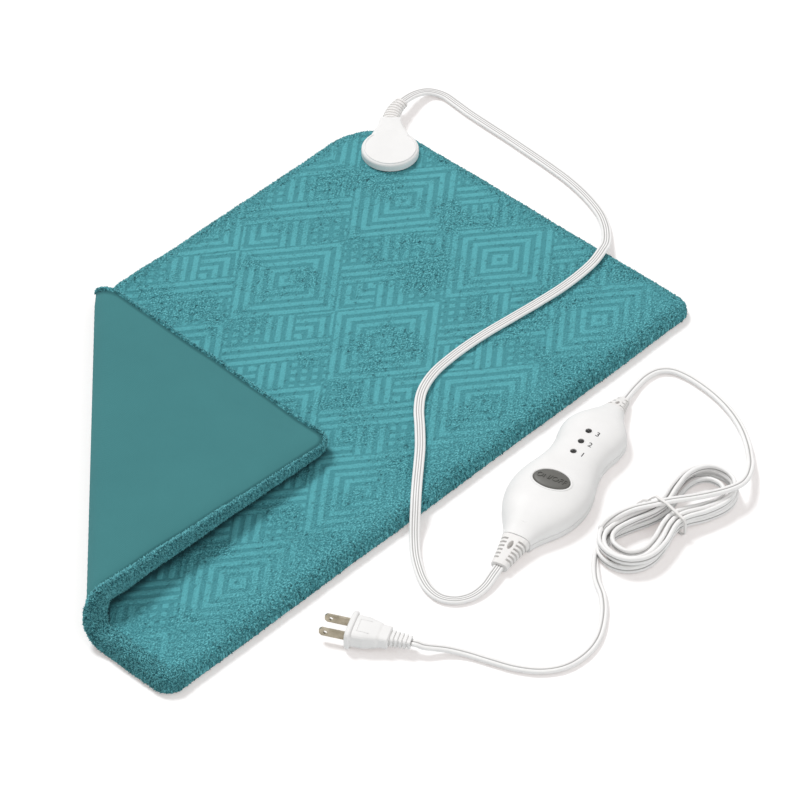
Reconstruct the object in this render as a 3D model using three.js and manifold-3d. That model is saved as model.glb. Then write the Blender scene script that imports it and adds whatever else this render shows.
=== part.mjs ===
// Heating pad with an inline controller, a mains lead in a hank and a two-blade plug.
// Millimetres, +Z up. The pad's long side runs along X and its short side along Y.
import * as THREE from 'three';
import { mergeVertices } from 'three/addons/utils/BufferGeometryUtils.js';
import Module from 'manifold-3d';

const wasm = await Module();
wasm.setup();

// Driving sizes shared by the whole object
const gap = 0.3;
const overrun = 2;
const weldTolerance = 1e-4;

// Pad
const padLength = 508;
const padWidth = 305;
const padThickness = 11;
const padRimHeight = 3.6;
const padRimRadius = 9;
const padCornerRadius = 13;
const padConnectorCornerRadius = 45;
const padCrown = 0.8;
const padCrownReach = 45;
const foldOnLongSide = 230;
const foldOnShortSide = 75;
const foldRadius = 10;
const backingThickness = 1.6;
const seamInset = 6;
const carrierThickness = 1.6;
const carrierInset = 16;
const wireDiameter = 1.8;
const wireRuns = 8;
const wireInset = 27;

// Connector housing on the pad
const connectorInsetShort = 28.2;
const connectorInsetLong = 43;
const connectorAngle = THREE.MathUtils.degToRad(43);
const connectorRadius = 20.5;
const connectorRise = 5.6;
const connectorEdge = 2.2;
const connectorWall = 2;
const connectorBarrelRadius = 15.5;
const connectorFlangeThickness = 1.8;
const connectorSplit = 9;
const neckReach = 37;
const neckEndWidth = 15.5;
const neckHeight = 16.5;
const neckEndHeight = 15;
const neckSlopeStart = 32;
const connectorReliefLength = 27;
const connectorReliefTurn = THREE.MathUtils.degToRad(39);
const connectorReliefFins = 9;

// Controller
const controllerX = 321;
const controllerY = -48;
const controllerAngle = THREE.MathUtils.degToRad(15);
const controllerLength = 142;
const controllerWidth = 56;
const controllerHeight = 21;
const controllerSplit = 6;
const controllerWall = 1.8;
const buttonLength = 26;
const buttonWidth = 17;
const buttonX = -0.148 * controllerLength;
const buttonProud = 1;
const buttonTravel = 0.8;
const ledDiameter = 3.8;
const ledSpacing = 0.079 * controllerLength;
const ledMiddleX = 0.155 * controllerLength;
const boardThickness = 1.6;
const boardLevel = 7.2;
const screwDiameter = 3;
const screwHeadDiameter = 5.4;

// Cords
const padCordWidth = 7.2;
const padCordThickness = 2.6;
const mainsCordWidth = 5.8;
const mainsCordThickness = 3;

// Hank
const hankX = 337;
const hankY = -123;
const hankAngle = THREE.MathUtils.degToRad(-2);
const hankHalfLength = 58;
const hankHalfWidth = 22;
const hankTurns = 5.04;
const hankPitch = 4.2;
const hankStrandWidth = 3.2;
const hankStrandHeight = 5.4;
const hankLayerStep = 6;
const tieThickness = 1.1;
const tieWidth = 1.8;

// Plug
const plugX = 125.8;
const plugY = -58.1;
const plugAngle = THREE.MathUtils.degToRad(116.7);
const plugWidth = 26;
const plugHeight = 15;
const plugFlange = 3.4;
const plugFront = 16;
const plugBodyLength = 18;
const plugCollarLength = 6;
const plugReliefLength = 14;
const bladeLength = 18;
const bladeWidth = 6.35;
const bladeThickness = 1.5;
const bladeSpacing = 12.7;
const bladeHoleDiameter = 3;

// Materials
const whitePlastic = () => new THREE.MeshStandardMaterial({ color: 0xf4f4f2, roughness: 0.42, metalness: 0 });
const whiteRubber = () => new THREE.MeshStandardMaterial({ color: 0xf2f2f0, roughness: 0.6, metalness: 0 });
const plush = () => new THREE.MeshStandardMaterial({ color: 0x579ca5, roughness: 0.95, metalness: 0 });
const cloth = () => new THREE.MeshStandardMaterial({ color: 0x478488, roughness: 0.9, metalness: 0 });
const felt = () => new THREE.MeshStandardMaterial({ color: 0xd8d4c8, roughness: 0.95, metalness: 0 });
const copper = () => new THREE.MeshStandardMaterial({ color: 0xb8794a, roughness: 0.5, metalness: 0.6 });
const steel = () => new THREE.MeshStandardMaterial({ color: 0x979084, roughness: 0.35, metalness: 0.9 });
const greyPlastic = () => new THREE.MeshStandardMaterial({ color: 0x6b6a65, roughness: 0.5, metalness: 0 });
const darkPlastic = () => new THREE.MeshStandardMaterial({ color: 0x2c2c2c, roughness: 0.5, metalness: 0 });
const laminate = () => new THREE.MeshStandardMaterial({ color: 0x2f6b45, roughness: 0.6, metalness: 0 });

// Solids and meshes
function weld(geometry) {
  const bare = geometry.index ? geometry.toNonIndexed() : geometry.clone();
  bare.deleteAttribute('normal');
  bare.deleteAttribute('uv');
  const merged = mergeVertices(bare, weldTolerance);
  const kept = [];
  const index = merged.index.array;
  for (let i = 0; i < index.length; i += 3) {
    const [a, b, c] = [index[i], index[i + 1], index[i + 2]];
    if (a !== b && b !== c && c !== a) kept.push(a, b, c);
  }
  merged.setIndex(kept);
  merged.computeVertexNormals();
  return merged;
}

function toSolid(geometry, matrix = new THREE.Matrix4()) {
  const welded = weld(geometry.clone().applyMatrix4(matrix));
  const vertProperties = new Float32Array(welded.attributes.position.array);
  const triVerts = new Uint32Array(welded.index.array);
  return new wasm.Manifold(new wasm.Mesh({ numProp: 3, vertProperties, triVerts }));
}

function fromSolid(solid) {
  const { vertProperties, triVerts } = solid.getMesh();
  const geometry = new THREE.BufferGeometry();
  geometry.setAttribute('position', new THREE.BufferAttribute(vertProperties, 3));
  geometry.setIndex([...triVerts]);
  geometry.computeVertexNormals();
  return geometry;
}

function named(name, geometry, material) {
  const mesh = new THREE.Mesh(geometry, material);
  mesh.name = name;
  return mesh;
}

const at = (x, y, z) => new THREE.Matrix4().makeTranslation(x, y, z);

function boxSolid(x0, x1, y0, y1, z0, z1) {
  const box = new THREE.BoxGeometry(x1 - x0, y1 - y0, z1 - z0);
  return toSolid(box, at((x0 + x1) / 2, (y0 + y1) / 2, (z0 + z1) / 2));
}

function rodSolid(x, y, z0, z1, diameter, sides = 20) {
  const rod = new THREE.CylinderGeometry(diameter / 2, diameter / 2, z1 - z0, sides);
  rod.rotateX(Math.PI / 2);
  return toSolid(rod, at(x, y, (z0 + z1) / 2));
}

function ellipseSolid(x, y, z0, z1, sizeX, sizeY, sides = 36) {
  const rod = new THREE.CylinderGeometry(1, 1, z1 - z0, sides);
  rod.rotateX(Math.PI / 2);
  rod.scale(sizeX / 2, sizeY / 2, 1);
  return toSolid(rod, at(x, y, (z0 + z1) / 2));
}

// A skin over closed rings of equal count, capped at both ends from each ring's centre
function skin(rings) {
  const vertices = [];
  const push = (...points) => points.forEach((p) => vertices.push(p.x, p.y, p.z));
  const count = rings[0].length;
  for (let i = 0; i + 1 < rings.length; i += 1) {
    for (let j = 0; j < count; j += 1) {
      const k = (j + 1) % count;
      const [a, b, c, d] = [rings[i][j], rings[i][k], rings[i + 1][k], rings[i + 1][j]];
      push(a, b, c);
      push(a, c, d);
    }
  }
  const centre = (ring) => ring.reduce((sum, p) => sum.add(p), new THREE.Vector3()).divideScalar(count);
  const first = centre(rings[0]);
  const last = centre(rings.at(-1));
  for (let j = 0; j < count; j += 1) {
    const k = (j + 1) % count;
    push(first, rings[0][k], rings[0][j]);
    push(last, rings.at(-1)[j], rings.at(-1)[k]);
  }
  const geometry = new THREE.BufferGeometry();
  geometry.setAttribute('position', new THREE.Float32BufferAttribute(vertices, 3));
  return weld(outward(geometry));
}

// Turns every face round when the closed skin encloses a negative volume
function outward(geometry) {
  const p = geometry.attributes.position;
  const [a, b, c] = [new THREE.Vector3(), new THREE.Vector3(), new THREE.Vector3()];
  let volume = 0;
  for (let i = 0; i < p.count; i += 3) {
    a.fromBufferAttribute(p, i);
    b.fromBufferAttribute(p, i + 1);
    c.fromBufferAttribute(p, i + 2);
    volume += a.dot(b.clone().cross(c));
  }
  if (volume > 0) return geometry;
  for (let i = 0; i < p.count; i += 3) {
    b.fromBufferAttribute(p, i + 1);
    c.fromBufferAttribute(p, i + 2);
    p.setXYZ(i + 1, c.x, c.y, c.z);
    p.setXYZ(i + 2, b.x, b.y, b.z);
  }
  return geometry;
}

// Pad outline: a rectangle with one rounded corner each, set in by a distance
const cornerRadii = { C: padCornerRadius, B: padCornerRadius, A: padConnectorCornerRadius, D: padCornerRadius };

function inside(x, y) {
  const left = x < padLength / 2;
  const low = y < padWidth / 2;
  const name = low ? (left ? 'C' : 'B') : (left ? 'D' : 'A');
  const radius = cornerRadii[name];
  const dx = left ? x : padLength - x;
  const dy = low ? y : padWidth - y;
  if (dx < radius && dy < radius) return radius - Math.hypot(radius - dx, radius - dy);
  return Math.min(dx, dy);
}

// Fold: the corner at D turns over a line from the long side at P to the short side at Q
const foldStart = new THREE.Vector2(foldOnLongSide, padWidth);
const foldEnd = new THREE.Vector2(0, foldOnShortSide);
const foldAlong = foldStart.clone().sub(foldEnd).normalize();
const foldAcross = new THREE.Vector2(-foldAlong.y, foldAlong.x);
const bendStart = -(foldRadius + padThickness / 2);
const middle = padThickness / 2;
const tipDistance = foldAcross.dot(new THREE.Vector2(0, padWidth).sub(foldStart));
const tipLevel = padThickness + padCrown + gap + middle;
const bendTop = middle + 2 * foldRadius;
const flapRun = tipDistance - bendStart - Math.PI * foldRadius;
const flapSlope = Math.asin((bendTop - tipLevel) / flapRun);
const bendAngle = Math.PI + flapSlope;

// A point of the flat pad at distance s across the fold line, t along it and height h, as it lies folded
function folded(s, t, h) {
  const away = s - bendStart;
  const level = h - middle;
  let across = s;
  let z = middle;
  let angle = 0;
  if (away > 0) {
    angle = Math.min(away / foldRadius, bendAngle);
    across = bendStart + foldRadius * Math.sin(angle);
    z = middle + foldRadius * (1 - Math.cos(angle));
    const rest = Math.max(away - bendAngle * foldRadius, 0);
    across += rest * Math.cos(angle);
    z += rest * Math.sin(angle);
  }
  across -= level * Math.sin(angle);
  z += level * Math.cos(angle);
  const plan = foldStart.clone().addScaledVector(foldAcross, across).addScaledVector(foldAlong, t);
  return new THREE.Vector3(plan.x, plan.y, z);
}

const planPoint = (s, t) => foldStart.clone().addScaledVector(foldAcross, s).addScaledVector(foldAlong, t);

function foldCoordinates(x, y) {
  const from = new THREE.Vector2(x, y).sub(foldStart);
  return [from.dot(foldAcross), from.dot(foldAlong)];
}

// Where the line at distance s crosses the outline set in by a distance, found by halving
function span(s, inset) {
  const reach = padLength + padWidth;
  const depth = (t) => {
    const p = planPoint(s, t);
    return inside(p.x, p.y) - inset;
  };
  let best = -reach;
  let most = -Infinity;
  for (let t = -reach; t <= reach; t += padRimRadius / 4) {
    if (depth(t) > most) [best, most] = [t, depth(t)];
  }
  if (most <= 0) return [best, best];
  const edge = (direction) => {
    let [near, far] = [best, best + direction * reach];
    for (let i = 0; i < 40; i += 1) {
      const half = (near + far) / 2;
      if (depth(half) > 0) near = half;
      else far = half;
    }
    return near;
  };
  return [edge(-1), edge(1)];
}

const rowStep = 0.01;
const bendRows = 10;
const bendStep = (bendAngle * foldRadius) / bendRows;
const bendPlaces = Array.from({ length: bendRows + 1 }, (_, i) => bendStart + bendStep * i);

// Distances across the fold at which the pad is sampled: close together round corners and in the bend
function foldRows(inset) {
  const rows = new Set();
  const add = (...values) => values.forEach((value) => rows.add(Math.round(value / rowStep) * rowStep));
  const tip = (cornerX, cornerY, radius, sign) => {
    const [corner] = foldCoordinates(cornerX, cornerY);
    const round = Math.max(radius - inset, 0);
    const end = corner - sign * (round * (Math.SQRT2 - 1) + inset * Math.SQRT2);
    const r = Math.max(round, padRimRadius);
    for (const share of [0.02, 0.12, 0.35, 0.8, 1.6]) add(end - sign * share * r);
  };
  tip(padLength, 0, padCornerRadius, -1);
  tip(0, padWidth, padCornerRadius, 1);
  const side = (cornerX, cornerY, radius) => {
    const [corner] = foldCoordinates(cornerX, cornerY);
    const half = Math.max(radius, padRimRadius) * Math.SQRT1_2;
    for (const share of [-1, -0.5, 0, 0.5, 1]) add(corner + share * half);
  };
  side(padLength, padWidth, padConnectorCornerRadius);
  side(0, 0, padCornerRadius);
  add(...bendPlaces);
  const [start] = foldCoordinates(padLength, 0);
  const flatRows = 6;
  for (let i = 1; i < flatRows; i += 1) add(start + ((bendStart - start) * i) / flatRows);
  add(tipDistance / 2);
  return [...rows].sort((a, b) => a - b);
}

// A layer of the pad between two heights that depend on the distance from the edge
function padLayer(insets, bottom, top) {
  const rows = foldRows(insets[0]).filter((s) => {
    const [low, high] = span(s, insets[0]);
    return high - low > overrun;
  });
  const spread = 1e-3;
  const rings = rows.map((s) => {
    const spans = insets.map((inset) => span(s, inset));
    const columns = [...spans.map(([low]) => low), ...spans.map(([, high]) => high).reverse()];
    const ring = [];
    const place = (t, height) => {
      const p = planPoint(s, t);
      ring.push(folded(s, t, height(Math.max(inside(p.x, p.y), insets[0] + spread))));
    };
    columns.forEach((t) => place(t, bottom));
    columns.reverse().forEach((t) => place(t, top));
    return ring;
  });
  return skin(rings);
}

const domed = (distance, radius) => Math.sqrt(1 - (1 - Math.min(distance / radius, 1)) ** 2);

function plushTop(distance) {
  const crown = padCrown * Math.min(distance / padCrownReach, 1);
  return padRimHeight + (padThickness - padRimHeight) * domed(distance, padRimRadius) + crown;
}

const pocketTop = backingThickness + gap + carrierThickness + gap + wireDiameter + gap;

function plushBottom(distance) {
  if (distance > seamInset + gap) return pocketTop;
  return padRimHeight * (1 - domed(distance, seamInset - overrun));
}

const seamWall = gap / 2;
const plushInsets = [0, 0.8, 2.4, 4.4, seamInset, seamInset + gap + seamWall, padRimRadius, padCrownReach];

// Connector housing: a round head over the pad and a neck past the pad's rounded corner
const connectorX = padLength - connectorInsetShort;
const connectorY = padWidth - connectorInsetLong;
const connectorFrame = new THREE.Matrix4().makeRotationZ(connectorAngle).setPosition(connectorX, connectorY, 0);
const headBottom = padThickness + padCrown + gap;
const headTop = headBottom + connectorRise;
const cornerCentreX = padLength - padConnectorCornerRadius;
const cornerCentreY = padWidth - padConnectorCornerRadius;
const flangeTop = connectorFlangeThickness;
const outsidePad = padConnectorCornerRadius + 2 * gap;

function discProfile(radius, bottom, top, edge) {
  const points = [new THREE.Vector2(0, bottom), new THREE.Vector2(radius, bottom)];
  const steps = 4;
  for (let i = 0; i <= steps; i += 1) {
    const angle = (Math.PI / 2) * (i / steps);
    points.push(new THREE.Vector2(radius - edge + edge * Math.cos(angle), top - edge + edge * Math.sin(angle)));
  }
  points.push(new THREE.Vector2(0, top));
  return points;
}

function lathe(points, segments = 40) {
  const geometry = new THREE.LatheGeometry(points, segments);
  geometry.rotateX(Math.PI / 2);
  return geometry;
}

// The neck's plan: narrower than the head, with a step at each side, and narrowing to its end
function neckShape(margin) {
  const root = connectorRadius * 0.78 - margin;
  const end = neckEndWidth / 2 - margin;
  const shape = new THREE.Shape();
  const from = connectorRadius * 0.3;
  const reach = neckReach - margin;
  shape.moveTo(from, -root);
  shape.bezierCurveTo(connectorRadius, -root * 0.91, reach * 0.62, -end * 1.18, reach, -end);
  shape.lineTo(reach, end);
  shape.bezierCurveTo(reach * 0.62, end * 1.18, connectorRadius, root * 0.91, from, root);
  shape.closePath();
  return shape;
}

function neckSolid(bottom, top, margin, edge) {
  const settings = { depth: top - bottom - edge, bevelEnabled: false, curveSegments: 6 };
  if (edge === 0) return toSolid(new THREE.ExtrudeGeometry(neckShape(margin), settings), at(0, 0, bottom));
  const rounded = { ...settings, bevelEnabled: true, bevelThickness: edge, bevelSize: edge, bevelSegments: 3 };
  const solid = toSolid(new THREE.ExtrudeGeometry(neckShape(margin + edge), rounded), at(0, 0, bottom));
  const far = 2 * neckReach;
  return solid.subtract(boxSolid(-far, far, -far, far, bottom - 2 * edge, bottom));
}

// In the connector's own frame the rounded corner of the pad is a disc about this centre
const cornerLocal = new THREE.Vector3(cornerCentreX, cornerCentreY, 0)
  .applyMatrix4(connectorFrame.clone().invert());
const padCornerSolid = (radius, bottom, top) =>
  toSolid(lathe([
    new THREE.Vector2(0, bottom),
    new THREE.Vector2(radius, bottom),
    new THREE.Vector2(radius, top),
    new THREE.Vector2(0, top),
  ], 64), at(cornerLocal.x, cornerLocal.y, 0));

const outsideReach = cornerLocal.x + Math.sqrt(outsidePad ** 2 - cornerLocal.y ** 2);
const barrelInner = connectorBarrelRadius - connectorWall;
const connectorBossReach = 10;
const connectorBossDiameter = 5;
const connectorScrewDiameter = 2;
const connectorScrewHead = 3.6;
const connectorScrewHeadDepth = 1;
const connectorScrewTop = 10;
const connectorBosses = [-connectorAngle, Math.PI / 2 - connectorAngle].map((angle) =>
  [connectorBossReach * Math.cos(angle), connectorBossReach * Math.sin(angle)]);
const barrelBottom = flangeTop + gap;
const wireLevel = pocketTop - gap - wireDiameter / 2;
const neckTop = neckHeight;
const rootHalfWidth = padCordWidth / 2 + gap;
const rootHalfHeight = padCordThickness / 2 + connectorWall;
const rootLevel = connectorSplit;
const mouthHalf = rootHalfWidth + gap;
const mouthRise = rootHalfHeight + gap;
const connectorReach = neckReach - connectorWall;
const ductHalf = neckEndWidth / 2 - connectorWall;

// The wire enters the barrel from two sides of the pad
const wireEntryX = connectorX;
const wireEntryY = connectorY;

function barrelSlots() {
  const half = wireDiameter / 2 + gap;
  const far = connectorBarrelRadius + overrun;
  const left = boxSolid(-far, 0, -half, half, barrelBottom - overrun, wireLevel + half);
  const low = boxSolid(-half, half, -far, 0, barrelBottom - overrun, wireLevel + half);
  const turn = new THREE.Matrix4().makeRotationZ(-connectorAngle);
  return toSolid(fromSolid(left.add(low)), turn);
}

// What lies over the neck's sloping end, lowered by a margin
function overSlope(margin) {
  const far = 2 * neckReach;
  const slope = Math.atan2(neckHeight - neckEndHeight, neckReach - neckSlopeStart);
  const place = at(neckSlopeStart, 0, neckHeight - margin).multiply(new THREE.Matrix4().makeRotationY(slope));
  return toSolid(fromSolid(boxSolid(0, far, -far, far, 0, far)), place);
}

function connectorTop() {
  const head = toSolid(lathe(discProfile(connectorRadius, headBottom, headTop, connectorEdge)));
  const barrel = rodSolid(0, 0, barrelBottom, headBottom + connectorEdge, 2 * connectorBarrelRadius, 40);
  const neck = neckSolid(connectorSplit + gap, neckTop, 0, connectorEdge)
    .subtract(padCornerSolid(outsidePad, -overrun, headBottom))
    .subtract(overSlope(0));
  const hollow = rodSolid(0, 0, 0, headTop - connectorWall, 2 * barrelInner, 32);
  const ductTop = neckTop - connectorWall;
  const past = outsideReach + connectorWall / 2;
  const duct = boxSolid(0, past + overrun, -ductHalf, ductHalf, headBottom + connectorWall / 2, ductTop);
  const well = boxSolid(past, connectorReach, -ductHalf, ductHalf, 0, ductTop).subtract(overSlope(connectorWall));
  const mouth = boxSolid(past, neckReach + overrun, -mouthHalf, mouthHalf, 0, rootLevel + mouthRise);
  let shell = head.add(neck).add(barrel).subtract(hollow).subtract(duct).subtract(well).subtract(mouth)
    .subtract(barrelSlots());
  for (const [x, y] of connectorBosses) {
    const roof = headTop - connectorWall / 2;
    shell = shell.add(rodSolid(x, y, barrelBottom, roof, connectorBossDiameter, 14))
      .subtract(rodSolid(x, y, 0, connectorScrewTop + gap, connectorScrewDiameter + 2 * gap, 12));
  }
  return shell;
}

const connectorScrew = ([x, y]) => {
  const bottom = gap / 2;
  return rodSolid(x, y, bottom, bottom + connectorScrewHeadDepth, connectorScrewHead, 12)
    .add(rodSolid(x, y, bottom, connectorScrewTop, connectorScrewDiameter, 12));
};

// The bottom shell is a flange under the pad, let into its backing, joined by a strip to the lower neck
function flangeSolid(margin, top) {
  const disc = rodSolid(0, 0, -margin, top, 2 * (connectorRadius - connectorEdge / 2 + margin), 40);
  const strip = boxSolid(0, outsideReach, -ductHalf - margin, ductHalf + margin, -margin, top);
  return disc.add(strip);
}

function connectorBottom() {
  const neck = neckSolid(0, connectorSplit, 0, 0)
    .subtract(padCornerSolid(outsidePad, -overrun, connectorSplit + overrun));
  const past = outsideReach + connectorWall / 2;
  const well = boxSolid(past, connectorReach, -ductHalf, ductHalf, connectorWall, neckTop);
  const mouth = boxSolid(past, neckReach + overrun, -mouthHalf, mouthHalf, rootLevel - mouthRise, neckTop);
  let shell = flangeSolid(0, flangeTop).add(neck).subtract(well).subtract(mouth);
  for (const [x, y] of connectorBosses) {
    const recess = gap / 2 + connectorScrewHeadDepth + gap;
    shell = shell.subtract(rodSolid(x, y, -overrun, recess, connectorScrewHead + 2 * gap, 12))
      .subtract(rodSolid(x, y, 0, flangeTop + overrun, connectorScrewDiameter + 2 * gap, 12));
  }
  return shell;
}

// What the housing cuts out of the pad's layers
function connectorCut(barrelHole) {
  const flange = flangeSolid(gap, flangeTop + gap);
  const barrel = rodSolid(0, 0, -overrun, headBottom, 2 * (connectorBarrelRadius + gap), 40);
  const cut = barrelHole ? flange.add(barrel) : flange;
  return toSolid(fromSolid(cut), connectorFrame);
}

// A tube of any section carried along points without twist
function sweep(points, section, up = new THREE.Vector3(0, 0, 1)) {
  const tangents = points.map((point, i) => {
    const before = points[Math.max(i - 1, 0)];
    const after = points[Math.min(i + 1, points.length - 1)];
    return after.clone().sub(before).normalize();
  });
  let normal = up.clone();
  const rings = points.map((point, i) => {
    normal = normal.clone().addScaledVector(tangents[i], -normal.dot(tangents[i])).normalize();
    const side = tangents[i].clone().cross(normal);
    const outline = typeof section === 'function' ? section(i) : section;
    return outline.map(([u, v]) => point.clone().addScaledVector(side, u).addScaledVector(normal, v));
  });
  return skin(rings);
}

function ovalSection(width, height, sides) {
  const points = [];
  for (let i = 0; i < sides; i += 1) {
    const angle = (2 * Math.PI * (i + 0.5)) / sides;
    points.push([(width / 2) * Math.cos(angle), (height / 2) * Math.sin(angle)]);
  }
  return points;
}

// Ribbed relief bending from the neck: fins on a thinner core
const connectorReliefBig = [13.3, 8.6];
const connectorReliefSmall = [10.6, 6.6];
function connectorRelief() {
  const radius = connectorReliefLength / connectorReliefTurn;
  const points = [];
  const sizes = [];
  const add = (distance, width, height) => {
    const angle = distance / radius;
    const x = neckReach + gap + radius * Math.sin(angle);
    points.push(new THREE.Vector3(x, -radius * (1 - Math.cos(angle)), rootLevel));
    sizes.push([width, height]);
  };
  points.push(new THREE.Vector3(neckReach - 2 * connectorWall, 0, rootLevel));
  sizes.push([2 * rootHalfWidth, 2 * rootHalfHeight]);
  points.push(new THREE.Vector3(neckReach, 0, rootLevel));
  sizes.push([2 * rootHalfWidth, 2 * rootHalfHeight]);
  const pitch = connectorReliefLength / connectorReliefFins;
  const coreShare = 0.74;
  for (let i = 0; i < connectorReliefFins; i += 1) {
    const share = i / (connectorReliefFins - 1);
    const width = THREE.MathUtils.lerp(connectorReliefBig[0], connectorReliefSmall[0], share);
    const height = THREE.MathUtils.lerp(connectorReliefBig[1], connectorReliefSmall[1], share);
    const from = i * pitch;
    add(from, width, height);
    add(from + pitch * 0.5, width, height);
    if (i === connectorReliefFins - 1) continue;
    add(from + pitch * 0.56, width * coreShare, height * coreShare);
    add(from + pitch * 0.94, width * coreShare, height * coreShare);
  }
  return sweep(points, (i) => ovalSection(sizes[i][0], sizes[i][1], 12));
}

// Heating wire: runs along the pad joined by half turns, with both ends at the terminal block
const wireSpacing = (connectorY - wireInset) / (wireRuns - 1);
const wireRight = connectorX - connectorBarrelRadius - wireSpacing / 2;
function heatingWire() {
  const plan = [];
  const add = (x, y) => plan.push([x, y]);
  const arc = (cx, cy, radius, from, to, steps) => {
    for (let i = 0; i <= steps; i += 1) {
      const angle = from + ((to - from) * i) / steps;
      add(cx + radius * Math.cos(angle), cy + radius * Math.sin(angle));
    }
  };
  const half = wireSpacing / 2;
  const top = wireEntryY;
  const bottom = top - (wireRuns - 1) * wireSpacing;
  add(wireEntryX, wireEntryY - terminalHalf - gap);
  add(wireEntryX, bottom + half);
  arc(wireEntryX - half, bottom + half, half, 0, -Math.PI / 2, 4);
  for (let run = 0; run < wireRuns; run += 1) {
    const y = bottom + run * wireSpacing;
    const last = run === wireRuns - 1;
    const turnX = run % 2 === 0 ? wireInset + half : wireRight - half;
    if (run % 2 === 0) arc(turnX, y + half, half, -Math.PI / 2, -1.5 * Math.PI, 6);
    else if (!last) arc(turnX, y + half, half, -Math.PI / 2, Math.PI / 2, 6);
    else add(wireEntryX - terminalHalf - gap, y);
  }
  const points = [];
  plan.forEach(([x, y], i) => {
    const [s, t] = foldCoordinates(x, y);
    if (i > 0) {
      const [ps, pt] = foldCoordinates(...plan[i - 1]);
      const crossed = bendPlaces.map((place) => (place - ps) / (s - ps)).filter((share) => share > 0 && share < 1);
      crossed.sort((a, b) => a - b);
      for (const share of crossed) points.push(folded(ps + (s - ps) * share, pt + (t - pt) * share, wireLevel));
    }
    points.push(folded(s, t, wireLevel));
  });
  return sweep(points, ovalSection(wireDiameter, wireDiameter, 6));
}
const terminalHalf = 6;

// Controller shells, lofted along their length from shares of half the width and of the height
const stationShares = [
  [-0.5, 0.37, 0.62], [-0.465, 0.43, 0.66], [-0.41, 0.59, 0.77], [-0.36, 0.75, 0.86], [-0.31, 0.87, 0.93],
  [-0.25, 0.96, 0.98], [-0.19, 1, 1], [-0.13, 0.99, 1], [-0.06, 0.92, 0.985], [0.01, 0.81, 0.96],
  [0.07, 0.735, 0.94], [0.12, 0.715, 0.93], [0.17, 0.735, 0.93], [0.22, 0.79, 0.935], [0.27, 0.82, 0.93],
  [0.32, 0.8, 0.91], [0.36, 0.72, 0.88], [0.4, 0.59, 0.82], [0.44, 0.44, 0.74], [0.475, 0.33, 0.66],
  [0.5, 0.285, 0.6],
];
const halfWidth = controllerWidth / 2;
const domeShare = 0.8;

function archPoint(x, width, base, height, angle) {
  const flat = 0.82;
  const y = width * Math.sign(Math.cos(angle)) * Math.abs(Math.cos(angle)) ** flat;
  const z = base + (height - base) * Math.abs(Math.sin(angle)) ** domeShare;
  return new THREE.Vector3(x, y, z);
}

function topShellBody() {
  const steps = 14;
  const rings = stationShares.map(([along, across, rise]) => {
    const x = along * controllerLength;
    const width = across * halfWidth;
    const height = rise * controllerHeight;
    const base = controllerSplit + gap / 2;
    const ring = [];
    for (let i = 0; i <= steps; i += 1) ring.push(archPoint(x, width, base, height, (Math.PI * i) / steps));
    for (let i = steps; i >= 0; i -= 1) {
      ring.push(archPoint(x, width - controllerWall, base, height - controllerWall, (Math.PI * i) / steps));
    }
    return ring;
  });
  return toSolid(skinOpenRings(rings));
}

// A skin whose end rings are bands: each cap is a strip between the outer and the inner half of the ring
function skinOpenRings(rings) {
  const count = rings[0].length;
  const half = count / 2;
  const vertices = [];
  const push = (...points) => points.forEach((p) => vertices.push(p.x, p.y, p.z));
  for (let i = 0; i + 1 < rings.length; i += 1) {
    for (let j = 0; j < count; j += 1) {
      const k = (j + 1) % count;
      push(rings[i][j], rings[i][k], rings[i + 1][k]);
      push(rings[i][j], rings[i + 1][k], rings[i + 1][j]);
    }
  }
  for (let j = 0; j + 1 < half; j += 1) {
    const [a, b] = [rings[0][j], rings[0][j + 1]];
    const [c, d] = [rings[0][count - 2 - j], rings[0][count - 1 - j]];
    push(a, c, b);
    push(a, d, c);
    const [e, f] = [rings.at(-1)[j], rings.at(-1)[j + 1]];
    const [g, h] = [rings.at(-1)[count - 2 - j], rings.at(-1)[count - 1 - j]];
    push(e, f, g);
    push(e, g, h);
  }
  const geometry = new THREE.BufferGeometry();
  geometry.setAttribute('position', new THREE.Float32BufferAttribute(vertices, 3));
  return weld(outward(geometry));
}

const bottomFloor = 2;
const bottomEdge = 3;
function bottomShellBody() {
  const rings = stationShares.map(([along, across]) => {
    const x = along * controllerLength;
    const width = across * halfWidth;
    const top = controllerSplit - gap / 2;
    const point = (y, z) => new THREE.Vector3(x, y, z);
    const side = (sign) => [
      point(sign * width, top),
      point(sign * width, bottomEdge),
      point(sign * (width - bottomEdge / 3), bottomEdge / 4),
      point(sign * (width - bottomEdge), 0),
    ];
    const innerWidth = width - controllerWall;
    const outer = [...side(1), ...side(-1).reverse()];
    const inner = [
      point(-innerWidth, top),
      point(-innerWidth, bottomEdge),
      point(-innerWidth + bottomFloor / 3, bottomFloor),
      point(-innerWidth + bottomFloor / 2, bottomFloor),
      point(innerWidth - bottomFloor / 2, bottomFloor),
      point(innerWidth - bottomFloor / 3, bottomFloor),
      point(innerWidth, bottomEdge),
      point(innerWidth, top),
    ];
    return [...outer, ...inner];
  });
  return toSolid(skinOpenRings(rings));
}

// Size of the controller body at a place along it, between the stations
function stationAt(x) {
  const share = x / controllerLength;
  const last = stationShares.length - 1;
  let i = 0;
  while (i < last - 1 && stationShares[i + 1][0] < share) i += 1;
  const [a, b] = [stationShares[i], stationShares[i + 1]];
  const mix = (share - a[0]) / (b[0] - a[0]);
  const width = THREE.MathUtils.lerp(a[1], b[1], mix) * halfWidth;
  const height = THREE.MathUtils.lerp(a[2], b[2], mix) * controllerHeight;
  return { width, height };
}

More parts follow.
